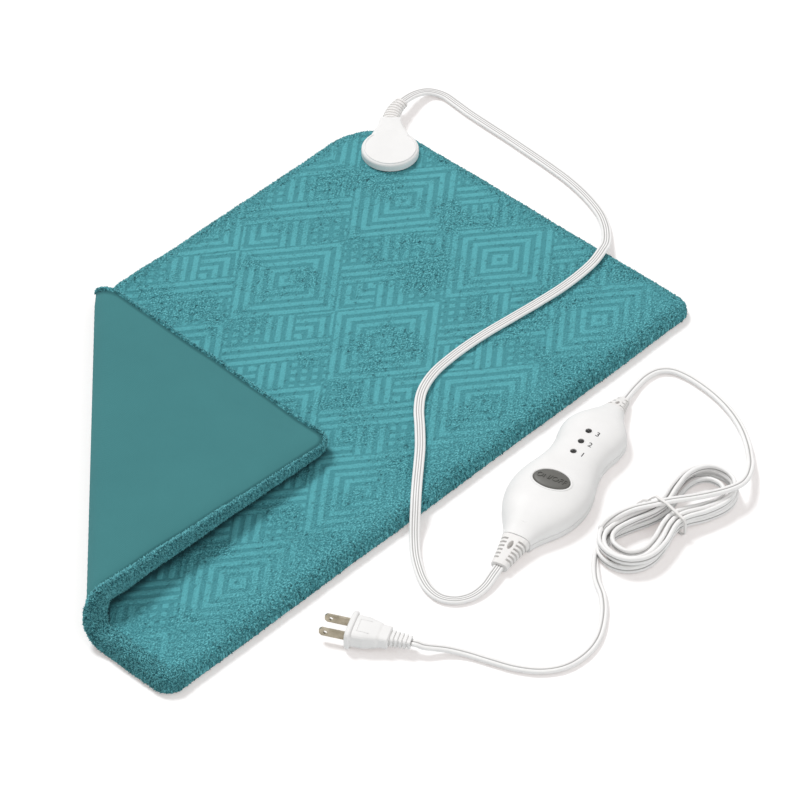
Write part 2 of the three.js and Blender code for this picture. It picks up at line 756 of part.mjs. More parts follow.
const endX = controllerLength / 2;
const bossX = controllerLength * 0.4;
const bossDiameter = 7.5;
const boardEnd = bossX - bossDiameter / 2 - 4 * gap;
const boardTop = boardLevel + boardThickness;
const ledPlaces = [['led_high', 1], ['led_medium', 0], ['led_low', -1]];
const ledX = (step) => ledMiddleX + step * ledSpacing;
const screwTop = boardTop + screwDiameter;
const headRecess = 2.4;

function controllerTop() {
  let shell = topShellBody();
  for (const x of [-bossX, bossX]) {
    const { height } = stationAt(x);
    shell = shell.add(rodSolid(x, 0, controllerSplit + gap / 2, height - controllerWall / 2, bossDiameter));
    shell = shell.subtract(rodSolid(x, 0, 0, screwTop + gap, screwDiameter + 2 * gap));
  }
  const [holeWidth, holeLength] = [buttonWidth + 2 * gap, buttonLength + 2 * gap];
  shell = shell.subtract(ellipseSolid(buttonX, 0, boardTop, 2 * controllerHeight, holeWidth, holeLength));
  for (const [, step] of ledPlaces) {
    shell = shell.subtract(rodSolid(ledX(step), 0, boardTop, 2 * controllerHeight, ledDiameter + 2 * gap));
  }
  return shell;
}

function controllerBottom() {
  let shell = bottomShellBody();
  for (const x of [-bossX, bossX]) {
    shell = shell.add(rodSolid(x, 0, bottomFloor / 2, controllerSplit - gap / 2, bossDiameter));
    shell = shell.subtract(rodSolid(x, 0, -overrun, headRecess, screwHeadDiameter + 2 * gap));
    shell = shell.subtract(rodSolid(x, 0, 0, controllerHeight, screwDiameter + 2 * gap));
  }
  const postX = boardEnd - bossDiameter;
  for (const x of [-postX, postX]) {
    for (const sign of [-1, 1]) {
      const y = sign * (stationAt(x).width - controllerWall - bossDiameter / 2);
      shell = shell.add(rodSolid(x, y, bottomFloor / 2, boardLevel - gap, bossDiameter / 2));
    }
  }
  return shell;
}

function boardGeometry() {
  const inset = controllerWall + 2 * gap + 1;
  const places = stationShares.map(([along]) => along * controllerLength).filter((x) => Math.abs(x) < boardEnd);
  const stations = [-boardEnd, ...places, boardEnd];
  const edge = (x) => stationAt(x).width * 0.93 - inset;
  const shape = new THREE.Shape();
  stations.forEach((x, i) => (i === 0 ? shape.moveTo(x, -edge(x)) : shape.lineTo(x, -edge(x))));
  [...stations].reverse().forEach((x) => shape.lineTo(x, edge(x)));
  shape.closePath();
  const geometry = new THREE.ExtrudeGeometry(shape, { depth: boardThickness, bevelEnabled: false });
  geometry.translate(0, 0, boardLevel);
  return weld(geometry);
}

// Components on the board: shares of the length, of half the width and of the room above the board
const boardRoom = 7;
const blockShares = [
  ['power_triac', -0.29, -0.21, -0.18, 0.18, 0.65],
  ['pad_cord_terminal', -0.355, -0.305, -0.2, 0.2, 0.8],
  ['control_chip', -0.07, -0.01, 0.16, 0.5, 0.3],
  ['mains_terminal', 0.285, 0.35, -0.18, 0.18, 0.85],
];
const capacitorDiameter = 8;
const capacitorHeight = 5.5;
const capacitorX = 0.046 * controllerLength;
const capacitorY = 0.32 * halfWidth;
const fuseDiameter = 4.6;
const fuseLength = 18;
const fuseX = 0.085 * controllerLength;
const fuseY = -0.3 * halfWidth;

function screwSolid(x, y, bottom, top, diameter, headDiameter) {
  const headHeight = headRecess - 2 * gap;
  return rodSolid(x, y, bottom, bottom + headHeight, headDiameter).add(rodSolid(x, y, bottom, top, diameter));
}

// Power button with its flange and stem, over the push switch
const switchSide = 7;
const switchHeight = 4.4;
const plungerDiameter = 3.6;
const switchBottom = boardTop + gap;
const switchTop = switchBottom + switchHeight;
const plungerTop = switchTop + buttonTravel + gap;
const stemBottom = plungerTop + gap;
const flangeLevel = controllerHeight - 5;
const buttonFlangeDepth = 1.2;

function buttonSolid() {
  const top = controllerHeight + buttonProud;
  const rim = controllerHeight - 0.2 * buttonProud;
  const points = [[0, flangeLevel], [1, flangeLevel], [1, rim]];
  const profile = points.map(([r, z]) => new THREE.Vector2(r, z));
  const steps = 6;
  for (let i = 1; i < steps; i += 1) {
    const angle = (Math.PI / 2) * (i / steps);
    profile.push(new THREE.Vector2(Math.cos(angle) ** 0.6, rim + (top - rim) * Math.sin(angle)));
  }
  profile.push(new THREE.Vector2(0, top));
  const cap = lathe(profile, 40);
  cap.scale(buttonWidth / 2, buttonLength / 2, 1);
  const flangeX = buttonWidth + 4 * buttonFlangeDepth;
  const flangeY = buttonLength + 2 * buttonFlangeDepth;
  return toSolid(cap, at(buttonX, 0, 0))
    .add(ellipseSolid(buttonX, 0, flangeLevel, flangeLevel + buttonFlangeDepth, flangeX, flangeY))
    .add(rodSolid(buttonX, 0, stemBottom, flangeLevel + buttonFlangeDepth, plungerDiameter + 1));
}

function switchSolid() {
  const half = switchSide / 2;
  const body = boxSolid(buttonX - half, buttonX + half, -half, half, switchBottom, switchTop);
  const bore = plungerDiameter + 2 * gap;
  return body.subtract(rodSolid(buttonX, 0, switchBottom + 2 * gap, switchTop + overrun, bore));
}

const plungerBottom = switchBottom + 3 * gap + buttonTravel;
const plungerSolid = rodSolid(buttonX, 0, plungerBottom, plungerTop, plungerDiameter);

function ledSolid(x) {
  const { height } = stationAt(x);
  const radius = ledDiameter / 2;
  const profile = [new THREE.Vector2(0, switchBottom), new THREE.Vector2(radius, switchBottom)];
  const steps = 4;
  const shoulder = height - radius * 0.55;
  for (let i = 0; i < steps; i += 1) {
    const angle = (Math.PI / 2) * (i / steps);
    profile.push(new THREE.Vector2(radius * Math.cos(angle), shoulder + radius * Math.sin(angle)));
  }
  profile.push(new THREE.Vector2(0, shoulder + radius));
  return toSolid(lathe(profile, 20), at(x, 0, 0));
}

// Tapered strain relief: a root held by the shells, a collar and a body with slots and an eye
function reliefSolid(length, base, tip, rootSize, slots, cordSize) {
  const [baseWidth, baseHeight] = base;
  const [tipWidth, tipHeight] = tip;
  const rings = [];
  const steps = 5;
  for (let i = 0; i <= steps; i += 1) {
    const share = i / steps;
    const width = THREE.MathUtils.lerp(baseWidth, tipWidth, share ** 0.9);
    const height = THREE.MathUtils.lerp(baseHeight, tipHeight, share);
    const x = gap + length * share;
    const middleZ = reliefFoot + height / 2;
    const ring = [];
    const sides = 16;
    for (let k = 0; k < sides; k += 1) {
      const angle = (2 * Math.PI * (k + 0.5)) / sides;
      const y = (width / 2) * Math.sign(Math.cos(angle)) * Math.abs(Math.cos(angle)) ** 0.7;
      const z = middleZ + (height / 2) * Math.sign(Math.sin(angle)) * Math.abs(Math.sin(angle)) ** 0.7;
      ring.push(new THREE.Vector3(x, y, z));
    }
    rings.push(ring);
  }
  let solid = toSolid(skin(rings));
  const collar = length * 0.14;
  const pitch = (length - 1.6 * collar) / slots;
  for (let i = 0; i < slots; i += 1) {
    const from = collar + i * pitch;
    const share = from / length;
    const width = THREE.MathUtils.lerp(baseWidth, tipWidth, share);
    const inner = Math.max(width / 2 - width * 0.17, cordSize / 2 + gap);
    for (const sign of [-1, 1]) {
      const [low, high] = sign > 0 ? [inner, width] : [-width, -inner];
      solid = solid.subtract(boxSolid(from + gap, from + gap + pitch * 0.5, low, high, -overrun, controllerHeight));
    }
  }
  const eyeBottom = reliefFoot + baseHeight / 2;
  const eye = ellipseSolid(length * 0.36, 0, eyeBottom, controllerHeight, length * 0.3, baseWidth * 0.17, 16);
  const [rootLength, rootWidth, rootLow, rootHigh] = rootSize;
  const root = boxSolid(-rootLength, gap + collar, -rootWidth / 2, rootWidth / 2, rootLow, rootHigh);
  return solid.subtract(eye).add(root);
}

const reliefFoot = 0.8;
const rootLength = 6;
const lowerReliefLength = 24;
const upperReliefLength = 16;
const lowerTip = [11.5, 7];
const upperTip = [8.4, 5.6];

function reliefFor(end) {
  const { width, height } = stationAt(end * endX);
  const rootShare = 0.62;
  const rootWidth = 2 * rootShare * (width - controllerWall);
  const archTop = controllerSplit + (height - controllerWall - controllerSplit) * 0.85;
  const rootSize = [rootLength, rootWidth, bottomFloor + gap, archTop - gap];
  const length = end < 0 ? lowerReliefLength : upperReliefLength;
  const tip = end < 0 ? lowerTip : upperTip;
  const cordSize = end < 0 ? padCordWidth : mainsCordWidth;
  const base = [2 * width * 0.97, height * 0.9];
  const solid = reliefSolid(length, base, tip, rootSize, end < 0 ? 6 : 5, cordSize);
  const turn = new THREE.Matrix4().makeRotationZ(end < 0 ? Math.PI : 0).setPosition(end * endX, 0, 0);
  return toSolid(fromSolid(solid), turn);
}

// Cords: flat sections along routes chosen by hand, in the layout's own X and Y
function cordGeometry(points, width, thickness, sides, steps) {
  const shape = new THREE.Shape(
    ovalSection(thickness, width, sides).map(([u, v]) => new THREE.Vector2(u, v)),
  );
  const path = new THREE.CatmullRomCurve3(points.map((p) => new THREE.Vector3(...p)), false, 'centripetal');
  return weld(new THREE.ExtrudeGeometry(shape, { steps, extrudePath: path, bevelEnabled: false }));
}

// Place of a point of a turned frame in the layout
function placed(frameX, frameY, angle, x, y, z) {
  const plan = new THREE.Vector2(x, y).rotateAround(new THREE.Vector2(), angle);
  return [frameX + plan.x, frameY + plan.y, z];
}

const cordStub = 8;
const reliefRadius = connectorReliefLength / connectorReliefTurn;
function connectorExit(beyond) {
  const pitch = connectorReliefLength / connectorReliefFins;
  const angle = (connectorReliefLength - pitch / 2) / reliefRadius;
  const x = neckReach + gap + reliefRadius * Math.sin(angle) + beyond * Math.cos(angle);
  const y = -reliefRadius * (1 - Math.cos(angle)) - beyond * Math.sin(angle);
  return placed(connectorX, connectorY, connectorAngle, x, y, rootLevel);
}

const lowerExitZ = reliefFoot + lowerTip[1] / 2;
const upperExitZ = reliefFoot + upperTip[1] / 2;
const lowerExit = (beyond, z) =>
  placed(controllerX, controllerY, controllerAngle, -(endX + gap + lowerReliefLength + beyond), 0, z);
const upperExit = (beyond, z) =>
  placed(controllerX, controllerY, controllerAngle, endX + gap + upperReliefLength + beyond, 0, z);

const padCordRoute = [
  connectorExit(gap),
  connectorExit(cordStub / 2),
  [547.5, 299.6, 6], [558, 296.8, 3.3], [563.2, 287.6, 1.9], [562.5, 274, 1.7], [561, 260, 1.7],
  [560, 242, 1.7], [559, 220, 1.7], [557.5, 198, 1.7], [556, 178, 1.7], [553.5, 157, 1.7],
  [549, 137, 1.7], [541.5, 117, 1.8], [534, 105.5, 2], [527, 98, 2.8], [520, 92, 5], [514, 87.6, 7.9],
  [509, 84.4, 10.6], [504, 81.8, 12.8], [498, 79.3, 13.8], [489, 76.8, 13.9], [474, 75, 13.9],
  [453, 74.5, 13.9], [430, 76, 13.9], [405, 78.4, 13.9], [378, 80.8, 13.9], [350, 81, 13.9],
  [328, 78.5, 13.9], [310, 71.8, 13.9], [296, 61.5, 13.9], [283, 48.5, 13.9], [270, 36, 13.9],
  [257, 25, 13.9], [247, 16.8, 13.9], [238, 9.3, 13.6], [232, 4.2, 12.6], [226, -1, 10.2], [220, -6.2, 7.2],
  [214, -11.6, 4.6], [207.5, -18, 2.5], [201, -25, 1.8], [194.5, -33.5, 1.7], [188.5, -43, 1.7],
  [184.5, -53, 1.7], [184, -63, 1.7], [189, -71.5, 1.7], [198, -76.5, 1.8], [209, -77.4, 2.6],
  lowerExit(cordStub, lowerExitZ - gap),
  lowerExit(gap, lowerExitZ),
];

// The lead over the hank: shares of half its length, half its width and its height without the lift
const hankHeight = hankLayerStep + hankStrandHeight;
const leadShares = [
  [1.05, -0.66, 1], [0.9, -0.78, 1.18], [0.72, -0.73, 1.32], [0.53, -0.52, 1.335], [0.33, -0.23, 1.34],
  [0.12, 0.11, 1.37], [-0.09, 0.41, 1.37], [-0.29, 0.69, 1.335], [-0.48, 0.88, 1.19], [-0.64, 0.97, 0.98],
  [-0.75, 0.92, 0.825],
];
const hankLead = leadShares.map(([u, v, z]) => [u * hankHalfLength, v * hankHalfWidth, z * hankHeight]);
const hankPlaced = ([u, v, z]) => placed(hankX, hankY, hankAngle, u, v, z);

const mainsLeadRoute = [
  upperExit(gap, upperExitZ),
  upperExit(cordStub / 2, upperExitZ - gap),
  [415, -22.7, 2.8], [425, -20.4, 2], [435.5, -19.4, 1.9], [445, -21.5, 1.9], [451.5, -28, 1.9], [454, -38, 1.9],
  [454, -53, 1.9], [451.5, -70, 1.9], [446.5, -86, 1.9], [439, -101, 1.9], [430, -113.5, 2.2],
  [420, -124, 4], [410.5, -132, 7.4],
  hankPlaced([hankLead[0][0] + cordStub / 2, hankLead[0][1] + gap * 3.5, hankLead[0][2] - gap * 4]),
  hankPlaced([hankLead[0][0] + gap, hankLead[0][1], hankLead[0][2]]),
];

const reliefEnd = plugFront - plugFlange - plugBodyLength - plugCollarLength - plugReliefLength;
const plugExitZ = plugHeight / 2;
const plugExit = (beyond, z) => placed(plugX, plugY, plugAngle, reliefEnd - beyond, 0, z);

// Hank: one strand spiralling in on the upper layer and out again on the lower one
const hankShares = [[1, 0], [0.95, 0.52], [0.8, 0.88], [0.6, 1], [0.35, 0.88], [0, 0.6]];
function hankOutline() {
  const quarter = hankShares.map(([u, v]) => [u * hankHalfLength, v * hankHalfWidth]);
  const upperLeft = quarter.slice(0, -1).reverse().map(([u, v]) => [-u, v]);
  const lowerLeft = quarter.slice(1).map(([u, v]) => [-u, -v]);
  const lowerRight = quarter.slice(1, -1).reverse().map(([u, v]) => [u, -v]);
  const points = [...quarter, ...upperLeft, ...lowerLeft, ...lowerRight];
  return new THREE.CatmullRomCurve3(points.map(([u, v]) => new THREE.Vector3(u, v, 0)), true, 'centripetal');
}

const hankStart = 0.395;
const hankLow = hankStrandHeight / 2;
const tieLift = tieThickness + 2 * gap;
const tieReach = 14;

function hankPath() {
  const outline = hankOutline();
  const stepsPerTurn = 24;
  const count = Math.round(hankTurns * stepsPerTurn);
  const points = hankLead.map(([u, v, z]) => new THREE.Vector3(u, v, z));
  const widths = hankLead.map((point, i) => {
    const share = Math.min(Math.max((hankLead.length - i) / 4, 0), 1);
    return [
      THREE.MathUtils.lerp(hankStrandWidth, mainsCordWidth, share),
      THREE.MathUtils.lerp(hankStrandHeight, mainsCordThickness, share),
    ];
  });
  for (let i = 0; i <= count; i += 1) {
    const turn = i / stepsPerTurn;
    const along = (hankStart + turn) % 1;
    const point = outline.getPointAt(along);
    const tangent = outline.getTangentAt(along);
    const inward = hankPitch * (hankTurns / 2 - Math.abs(turn - hankTurns / 2));
    const drop = THREE.MathUtils.smoothstep(turn, hankTurns / 2 - 0.25, hankTurns / 2 + 0.25);
    const lift = tieLift * Math.exp(-((point.x / tieReach) ** 2));
    point.x -= tangent.y * inward;
    point.y += tangent.x * inward;
    point.z = hankLow + hankLayerStep * (1 - drop) + lift;
    points.push(point);
    widths.push([hankStrandWidth, hankStrandHeight]);
  }
  const end = points.at(-1).clone();
  const last = end.clone().sub(points.at(-2)).setZ(0).normalize();
  points.push(end.addScaledVector(last, hankStrandHeight));
  widths.push([hankStrandWidth, hankStrandHeight]);
  return { points, widths };
}

function hankGeometry() {
  const { points, widths } = hankPath();
  return sweep(points, (i) => ovalSection(widths[i][0], widths[i][1], 6));
}

// Least gap of the hank to itself, measured between points of rings that lie well apart along the strand
function hankGap() {
  const { points, widths } = hankPath();
  const fine = 4;
  const samples = [];
  points.forEach((point, i) => {
    if (i === 0) return;
    for (let k = 0; k < fine; k += 1) {
      const share = k / fine;
      const place = points[i - 1].clone().lerp(point, share);
      const along = point.clone().sub(points[i - 1]).normalize();
      const side = along.clone().cross(new THREE.Vector3(0, 0, 1)).normalize();
      const width = THREE.MathUtils.lerp(widths[i - 1][0], widths[i][0], share);
      const height = THREE.MathUtils.lerp(widths[i - 1][1], widths[i][1], share);
      const ring = ovalSection(width, height, 6).map(([u, v]) =>
        place.clone().addScaledVector(side, u).add(new THREE.Vector3(0, 0, v)));
      samples.push({ place, ring, at: i + share });
    }
  });
  let least = Infinity;
  let where = '';
  const apart = 5;
  for (let i = 0; i < samples.length; i += 1) {
    for (let j = i + apart * fine; j < samples.length; j += 1) {
      if (samples[i].place.distanceTo(samples[j].place) > 3 * hankStrandHeight) continue;
      for (const a of samples[i].ring) {
        for (const b of samples[j].ring) {
          const distance = a.distanceTo(b);
          if (distance < least) [least, where] = [distance, `${samples[i].at} and ${samples[j].at}`];
        }
      }
    }
  }
  return `Least gap of the hank to itself: ${least.toFixed(2)} mm, between rings ${where}`;
}

const hankEnd = hankPath().points.at(-1);
const hankBefore = hankPath().points.at(-2);
const hankOut = hankEnd.clone().sub(hankBefore).normalize();
const hankBeyond = (distance) =>
  hankPlaced([hankEnd.x + hankOut.x * distance, hankEnd.y + hankOut.y * distance, hankEnd.z]);

const mainsTailRoute = [
  hankBeyond(gap),
  hankBeyond(cordStub / 2),
  [265.5, -125, 2], [256.5, -138, 1.9], [244, -150, 1.9], [225, -161.5, 1.9], [208, -165, 1.9], [192, -162.5, 1.9],
  [179.5, -154, 1.9], [170.5, -141, 1.9], [164, -125, 1.9], [158, -109.5, 2.2], [151, -98.5, 3.8],
  plugExit(cordStub, plugExitZ - 1),
  plugExit(cordStub / 2, plugExitZ),
  plugExit(gap, plugExitZ),
];

// Wire tie round the waist, a flat ring with a crest over the lead and a twisted end
const tieHalf = hankHalfWidth * hankShares.at(-1)[1] + hankStrandWidth / 2 + 2 * gap;
const tieShoulder = hankLow + hankLayerStep + tieLift + hankStrandHeight / 2 + 2 * gap;
const tieCrest = hankLead[5][2] + mainsCordThickness / 2 + 2 * gap;
const tieCrestMiddle = (hankLead[5][1] + hankLead[6][1]) / 2;
const tieCut = 1.5;

function tieOutline(path, margin) {
  const crestHalf = 0.75 * mainsCordWidth;
  const points = [
    [-tieHalf + tieCut, tieThickness, 0, -1],
    [tieHalf - tieCut, tieThickness, 0, -1],
    [tieHalf, tieThickness + tieCut, 1, 0],
    [tieHalf, tieShoulder - tieCut, 1, 0],
    [tieHalf - tieCut, tieShoulder, 1, 0.5],
    [tieCrestMiddle + crestHalf, tieCrest, 0.6, 1],
    [tieCrestMiddle - crestHalf, tieCrest, -0.2, 1],
    [-tieHalf + tieCut, tieShoulder, -0.5, 1],
    [-tieHalf, tieShoulder - tieCut, -1, 0.2],
    [-tieHalf, tieThickness + tieCut, -1, 0],
  ];
  const shifted = points.map(([v, z, outV, outZ]) => [v + outV * margin, z + outZ * margin]);
  shifted.forEach(([v, z], i) => (i === 0 ? path.moveTo(v, z) : path.lineTo(v, z)));
  path.closePath();
  return path;
}

function tieSolid() {
  const shape = tieOutline(new THREE.Shape(), tieThickness);
  shape.holes.push(tieOutline(new THREE.Path(), 0));
  const ring = new THREE.ExtrudeGeometry(shape, { depth: tieWidth, bevelEnabled: false });
  const turn = new THREE.Matrix4().makeBasis(
    new THREE.Vector3(0, 1, 0),
    new THREE.Vector3(0, 0, 1),
    new THREE.Vector3(1, 0, 0),
  ).setPosition(-tieWidth / 2, 0, 0);
  const start = new THREE.Vector3(0, tieHalf + tieThickness / 2, tieShoulder * 0.7);
  const tail = [[0, 0, 0], [-0.3, 1.6, 0.4], [-2.4, 3.6, 0.6], [-5.5, 4.8, -0.6], [-9, 5.6, -2.6]];
  const points = tail.map(([u, v, z]) => start.clone().add(new THREE.Vector3(u, v, z)));
  return toSolid(ring, turn).add(toSolid(sweep(points, ovalSection(tieWidth, tieWidth, 6))));
}

// Plug: moulded body with a flange, collar and ribbed relief, and two blades
function plugRing(x, width, height) {
  const ring = [];
  const sides = 20;
  for (let k = 0; k < sides; k += 1) {
    const angle = (2 * Math.PI * (k + 0.5)) / sides;
    const y = (width / 2) * Math.sign(Math.cos(angle)) * Math.abs(Math.cos(angle)) ** 0.45;
    const z = (height / 2) * Math.sign(Math.sin(angle)) * Math.abs(Math.sin(angle)) ** 0.45;
    ring.push(new THREE.Vector3(x, y, plugHeight / 2 + z));
  }
  return ring;
}

const bladeRoot = 9;
function plugSolid() {
  const back = plugFront - plugFlange;
  const collar = back - plugBodyLength;
  const relief = collar - plugCollarLength;
  const shares = [
    [plugFront, 0.94, 0.92], [plugFront - 0.2 * plugFlange, 1, 1],
    [back + 0.2 * plugFlange, 1, 1], [back, 0.97, 0.95],
    [back - 0.01 * plugBodyLength, 0.86, 0.82], [back - 0.45 * plugBodyLength, 0.84, 0.8],
    [collar + 0.1 * plugBodyLength, 0.68, 0.72], [collar, 0.6, 0.66], [relief + 0.1 * plugCollarLength, 0.58, 0.64],
    [relief, 0.5, 0.56],
  ];
  const rings = shares.map(([x, w, h]) => plugRing(x, w * plugWidth, h * plugHeight));
  const ribs = 5;
  const pitch = plugReliefLength / ribs;
  for (let i = 0; i < ribs; i += 1) {
    const from = relief - i * pitch;
    const share = i / (ribs - 1);
    const width = THREE.MathUtils.lerp(0.42, 0.33, share) * plugWidth;
    const height = THREE.MathUtils.lerp(0.52, 0.42, share) * plugHeight;
    const core = 0.78;
    rings.push(plugRing(from - 0.02 * pitch, core * width, core * height));
    rings.push(plugRing(from - 0.42 * pitch, core * width, core * height));
    rings.push(plugRing(from - 0.48 * pitch, width, height));
    rings.push(plugRing(from - pitch, width, height));
  }
  let solid = toSolid(skin(rings));
  const halfT = bladeThickness / 2 + gap;
  const halfW = bladeWidth / 2 + gap;
  for (const sign of [-1, 1]) {
    const y = (sign * bladeSpacing) / 2;
    const [low, high] = [plugExitZ - halfW, plugExitZ + halfW];
    const slot = boxSolid(plugFront - bladeRoot - gap, plugFront + overrun, y - halfT, y + halfT, low, high);
    solid = solid.subtract(slot);
  }
  return solid;
}

function bladeGeometry(y) {
  const [root, tip, half] = [plugFront - bladeRoot, plugFront + bladeLength, bladeWidth / 2];
  const chamfer = half / 2;
  const shape = new THREE.Shape();
  shape.moveTo(root, -half);
  shape.lineTo(tip - chamfer, -half);
  shape.lineTo(tip, -half + chamfer);
  shape.lineTo(tip, half - chamfer);
  shape.lineTo(tip - chamfer, half);
  shape.lineTo(root, half);
  shape.closePath();
  const hole = new THREE.Path();
  hole.absarc(tip - 1.7 * chamfer - bladeHoleDiameter / 2, 0, bladeHoleDiameter / 2, 0, 2 * Math.PI, true);
  shape.holes.push(hole);
  const geometry = new THREE.ExtrudeGeometry(shape, { depth: bladeThickness, bevelEnabled: false, curveSegments: 6 });
  geometry.rotateX(Math.PI / 2);
  geometry.translate(0, y + bladeThickness / 2, plugExitZ);
  return weld(geometry);
}

// Assembly, laid out from the pad's corner C
const whole = new THREE.Group();
const objectPieces = new THREE.Group();
const cordPieces = new THREE.Group();
whole.add(objectPieces, cordPieces);

const plushSolid = toSolid(padLayer(plushInsets, plushBottom, plushTop)).subtract(connectorCut(true));
const backingSolid = toSolid(padLayer([seamInset + 3 * gap], () => 0, () => backingThickness))
  .subtract(connectorCut(false));
const carrierLow = backingThickness + gap;
const carrierSolid = toSolid(padLayer([carrierInset], () => carrierLow, () => carrierLow + carrierThickness))
  .subtract(connectorCut(true));
objectPieces.add(
  named('pad_plush_cover', fromSolid(plushSolid), plush()),
  named('pad_backing_cover', fromSolid(backingSolid), cloth()),
  named('heating_element_carrier', fromSolid(carrierSolid), felt()),
  named('heating_wire', heatingWire(), copper()),
);

const connector = new THREE.Group();
connector.position.set(connectorX, connectorY, 0);
connector.rotation.z = connectorAngle;
connector.add(
  named('connector_top_shell', fromSolid(connectorTop()), whitePlastic()),
  named('connector_bottom_shell', fromSolid(connectorBottom()), whitePlastic()),
  named('connector_strain_relief', connectorRelief(), whiteRubber()),
  named('connector_screw_1', fromSolid(connectorScrew(connectorBosses[0])), steel()),
  named('connector_screw_2', fromSolid(connectorScrew(connectorBosses[1])), steel()),
);
objectPieces.add(connector);
const terminalTop = pocketTop + gap;
objectPieces.add(named('pad_terminal_block', fromSolid(boxSolid(
  connectorX - terminalHalf, connectorX + terminalHalf,
  connectorY - terminalHalf, connectorY + terminalHalf,
  flangeTop + gap, terminalTop,
)), darkPlastic()));

const controller = new THREE.Group();
controller.position.set(controllerX, controllerY, 0);
controller.rotation.z = controllerAngle;
controller.add(
  named('controller_top_shell', fromSolid(controllerTop()), whitePlastic()),
  named('controller_bottom_shell', fromSolid(controllerBottom()), whitePlastic()),
  named('circuit_board', boardGeometry(), laminate()),
  named('power_button', fromSolid(buttonSolid()), greyPlastic()),
  named('push_switch_body', fromSolid(switchSolid()), darkPlastic()),
  named('push_switch_plunger', fromSolid(plungerSolid), darkPlastic()),
  named('controller_lower_strain_relief', fromSolid(reliefFor(-1)), whiteRubber()),
  named('controller_upper_strain_relief', fromSolid(reliefFor(1)), whiteRubber()),
);
for (const [name, step] of ledPlaces) controller.add(named(name, fromSolid(ledSolid(ledX(step))), darkPlastic()));
const screwBottom = gap / 2;
const shellScrew = (x) => screwSolid(x, 0, screwBottom, screwTop, screwDiameter, screwHeadDiameter);
controller.add(
  named('controller_screw_1', fromSolid(shellScrew(-bossX)), steel()),
  named('controller_screw_2', fromSolid(shellScrew(bossX)), steel()),
);
for (const [name, x0, x1, y0, y1, high] of blockShares) {
  controller.add(named(name, fromSolid(boxSolid(
    x0 * controllerLength, x1 * controllerLength, y0 * halfWidth, y1 * halfWidth,
    boardTop + gap, boardTop + gap + high * boardRoom,
  )), darkPlastic()));
}
const capacitor = rodSolid(capacitorX, capacitorY, boardTop + gap, boardTop + gap + capacitorHeight, capacitorDiameter, 14);
const fuseRod = rodSolid(0, 0, -fuseLength / 2, fuseLength / 2, fuseDiameter, 12);
const fuseTurn = new THREE.Matrix4().makeRotationY(Math.PI / 2)
  .setPosition(fuseX, fuseY, boardTop + gap + fuseDiameter / 2);
controller.add(
  named('smoothing_capacitor', fromSolid(capacitor), steel()),
  named('fuse', fromSolid(toSolid(fromSolid(fuseRod), fuseTurn)), greyPlastic()),
);
objectPieces.add(controller);

cordPieces.add(
  named('pad_cord', cordGeometry(padCordRoute, padCordWidth, padCordThickness, 8, 46), whiteRubber()),
  named('mains_cord_lead', cordGeometry(mainsLeadRoute, mainsCordWidth, mainsCordThickness, 8, 17), whiteRubber()),
  named('mains_cord_tail', cordGeometry(mainsTailRoute, mainsCordWidth, mainsCordThickness, 8, 16), whiteRubber()),
);
const hank = new THREE.Group();
hank.position.set(hankX, hankY, 0);
hank.rotation.z = hankAngle;
hank.add(
  named('mains_cord_hank', hankGeometry(), whiteRubber()),
  named('hank_tie', fromSolid(tieSolid()), whiteRubber()),
);
const plug = new THREE.Group();
plug.position.set(plugX, plugY, 0);
plug.rotation.z = plugAngle;
plug.add(
  named('plug_body', fromSolid(plugSolid()), whiteRubber()),
  named('plug_blade_1', bladeGeometry(bladeSpacing / 2), steel()),
  named('plug_blade_2', bladeGeometry(-bladeSpacing / 2), steel()),
);
cordPieces.add(hank, plug);
console.log(hankGap());

// The origin is the bottom centre of the object without its cords
whole.updateMatrixWorld(true);
const box = new THREE.Box3().setFromObject(objectPieces, true);
const centre = box.getCenter(new THREE.Vector3());
whole.position.set(-centre.x, -centre.y, -box.min.z);

export default whole;
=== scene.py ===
import math

import bmesh
import bpy
import numpy as np
from mathutils import Matrix, Vector
from mathutils.bvhtree import BVHTree


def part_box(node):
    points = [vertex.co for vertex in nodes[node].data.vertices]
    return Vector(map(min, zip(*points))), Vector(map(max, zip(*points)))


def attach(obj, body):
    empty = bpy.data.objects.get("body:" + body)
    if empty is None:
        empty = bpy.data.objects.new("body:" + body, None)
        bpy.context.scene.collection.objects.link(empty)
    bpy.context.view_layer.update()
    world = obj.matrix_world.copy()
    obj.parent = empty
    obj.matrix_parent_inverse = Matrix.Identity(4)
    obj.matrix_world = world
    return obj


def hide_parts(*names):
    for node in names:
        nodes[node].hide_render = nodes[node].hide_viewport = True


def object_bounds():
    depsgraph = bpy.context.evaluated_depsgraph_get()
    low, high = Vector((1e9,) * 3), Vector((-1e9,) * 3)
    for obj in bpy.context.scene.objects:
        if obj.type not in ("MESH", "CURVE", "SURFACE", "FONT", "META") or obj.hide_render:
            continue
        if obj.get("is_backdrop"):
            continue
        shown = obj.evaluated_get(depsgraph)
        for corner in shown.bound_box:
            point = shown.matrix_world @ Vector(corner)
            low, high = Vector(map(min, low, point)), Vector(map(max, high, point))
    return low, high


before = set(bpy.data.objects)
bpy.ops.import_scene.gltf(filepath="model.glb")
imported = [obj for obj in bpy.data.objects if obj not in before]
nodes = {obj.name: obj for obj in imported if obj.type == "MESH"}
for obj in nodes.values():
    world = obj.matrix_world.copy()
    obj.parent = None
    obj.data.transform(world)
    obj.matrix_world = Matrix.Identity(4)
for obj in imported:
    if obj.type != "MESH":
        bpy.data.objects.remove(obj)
cad_low, cad_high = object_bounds()
MAIN = "pad_and_controller"
MM = 0.001
PAD_LENGTH, PAD_WIDTH = 508, 305
# The gap between parts that fit together
GAP = 0.3

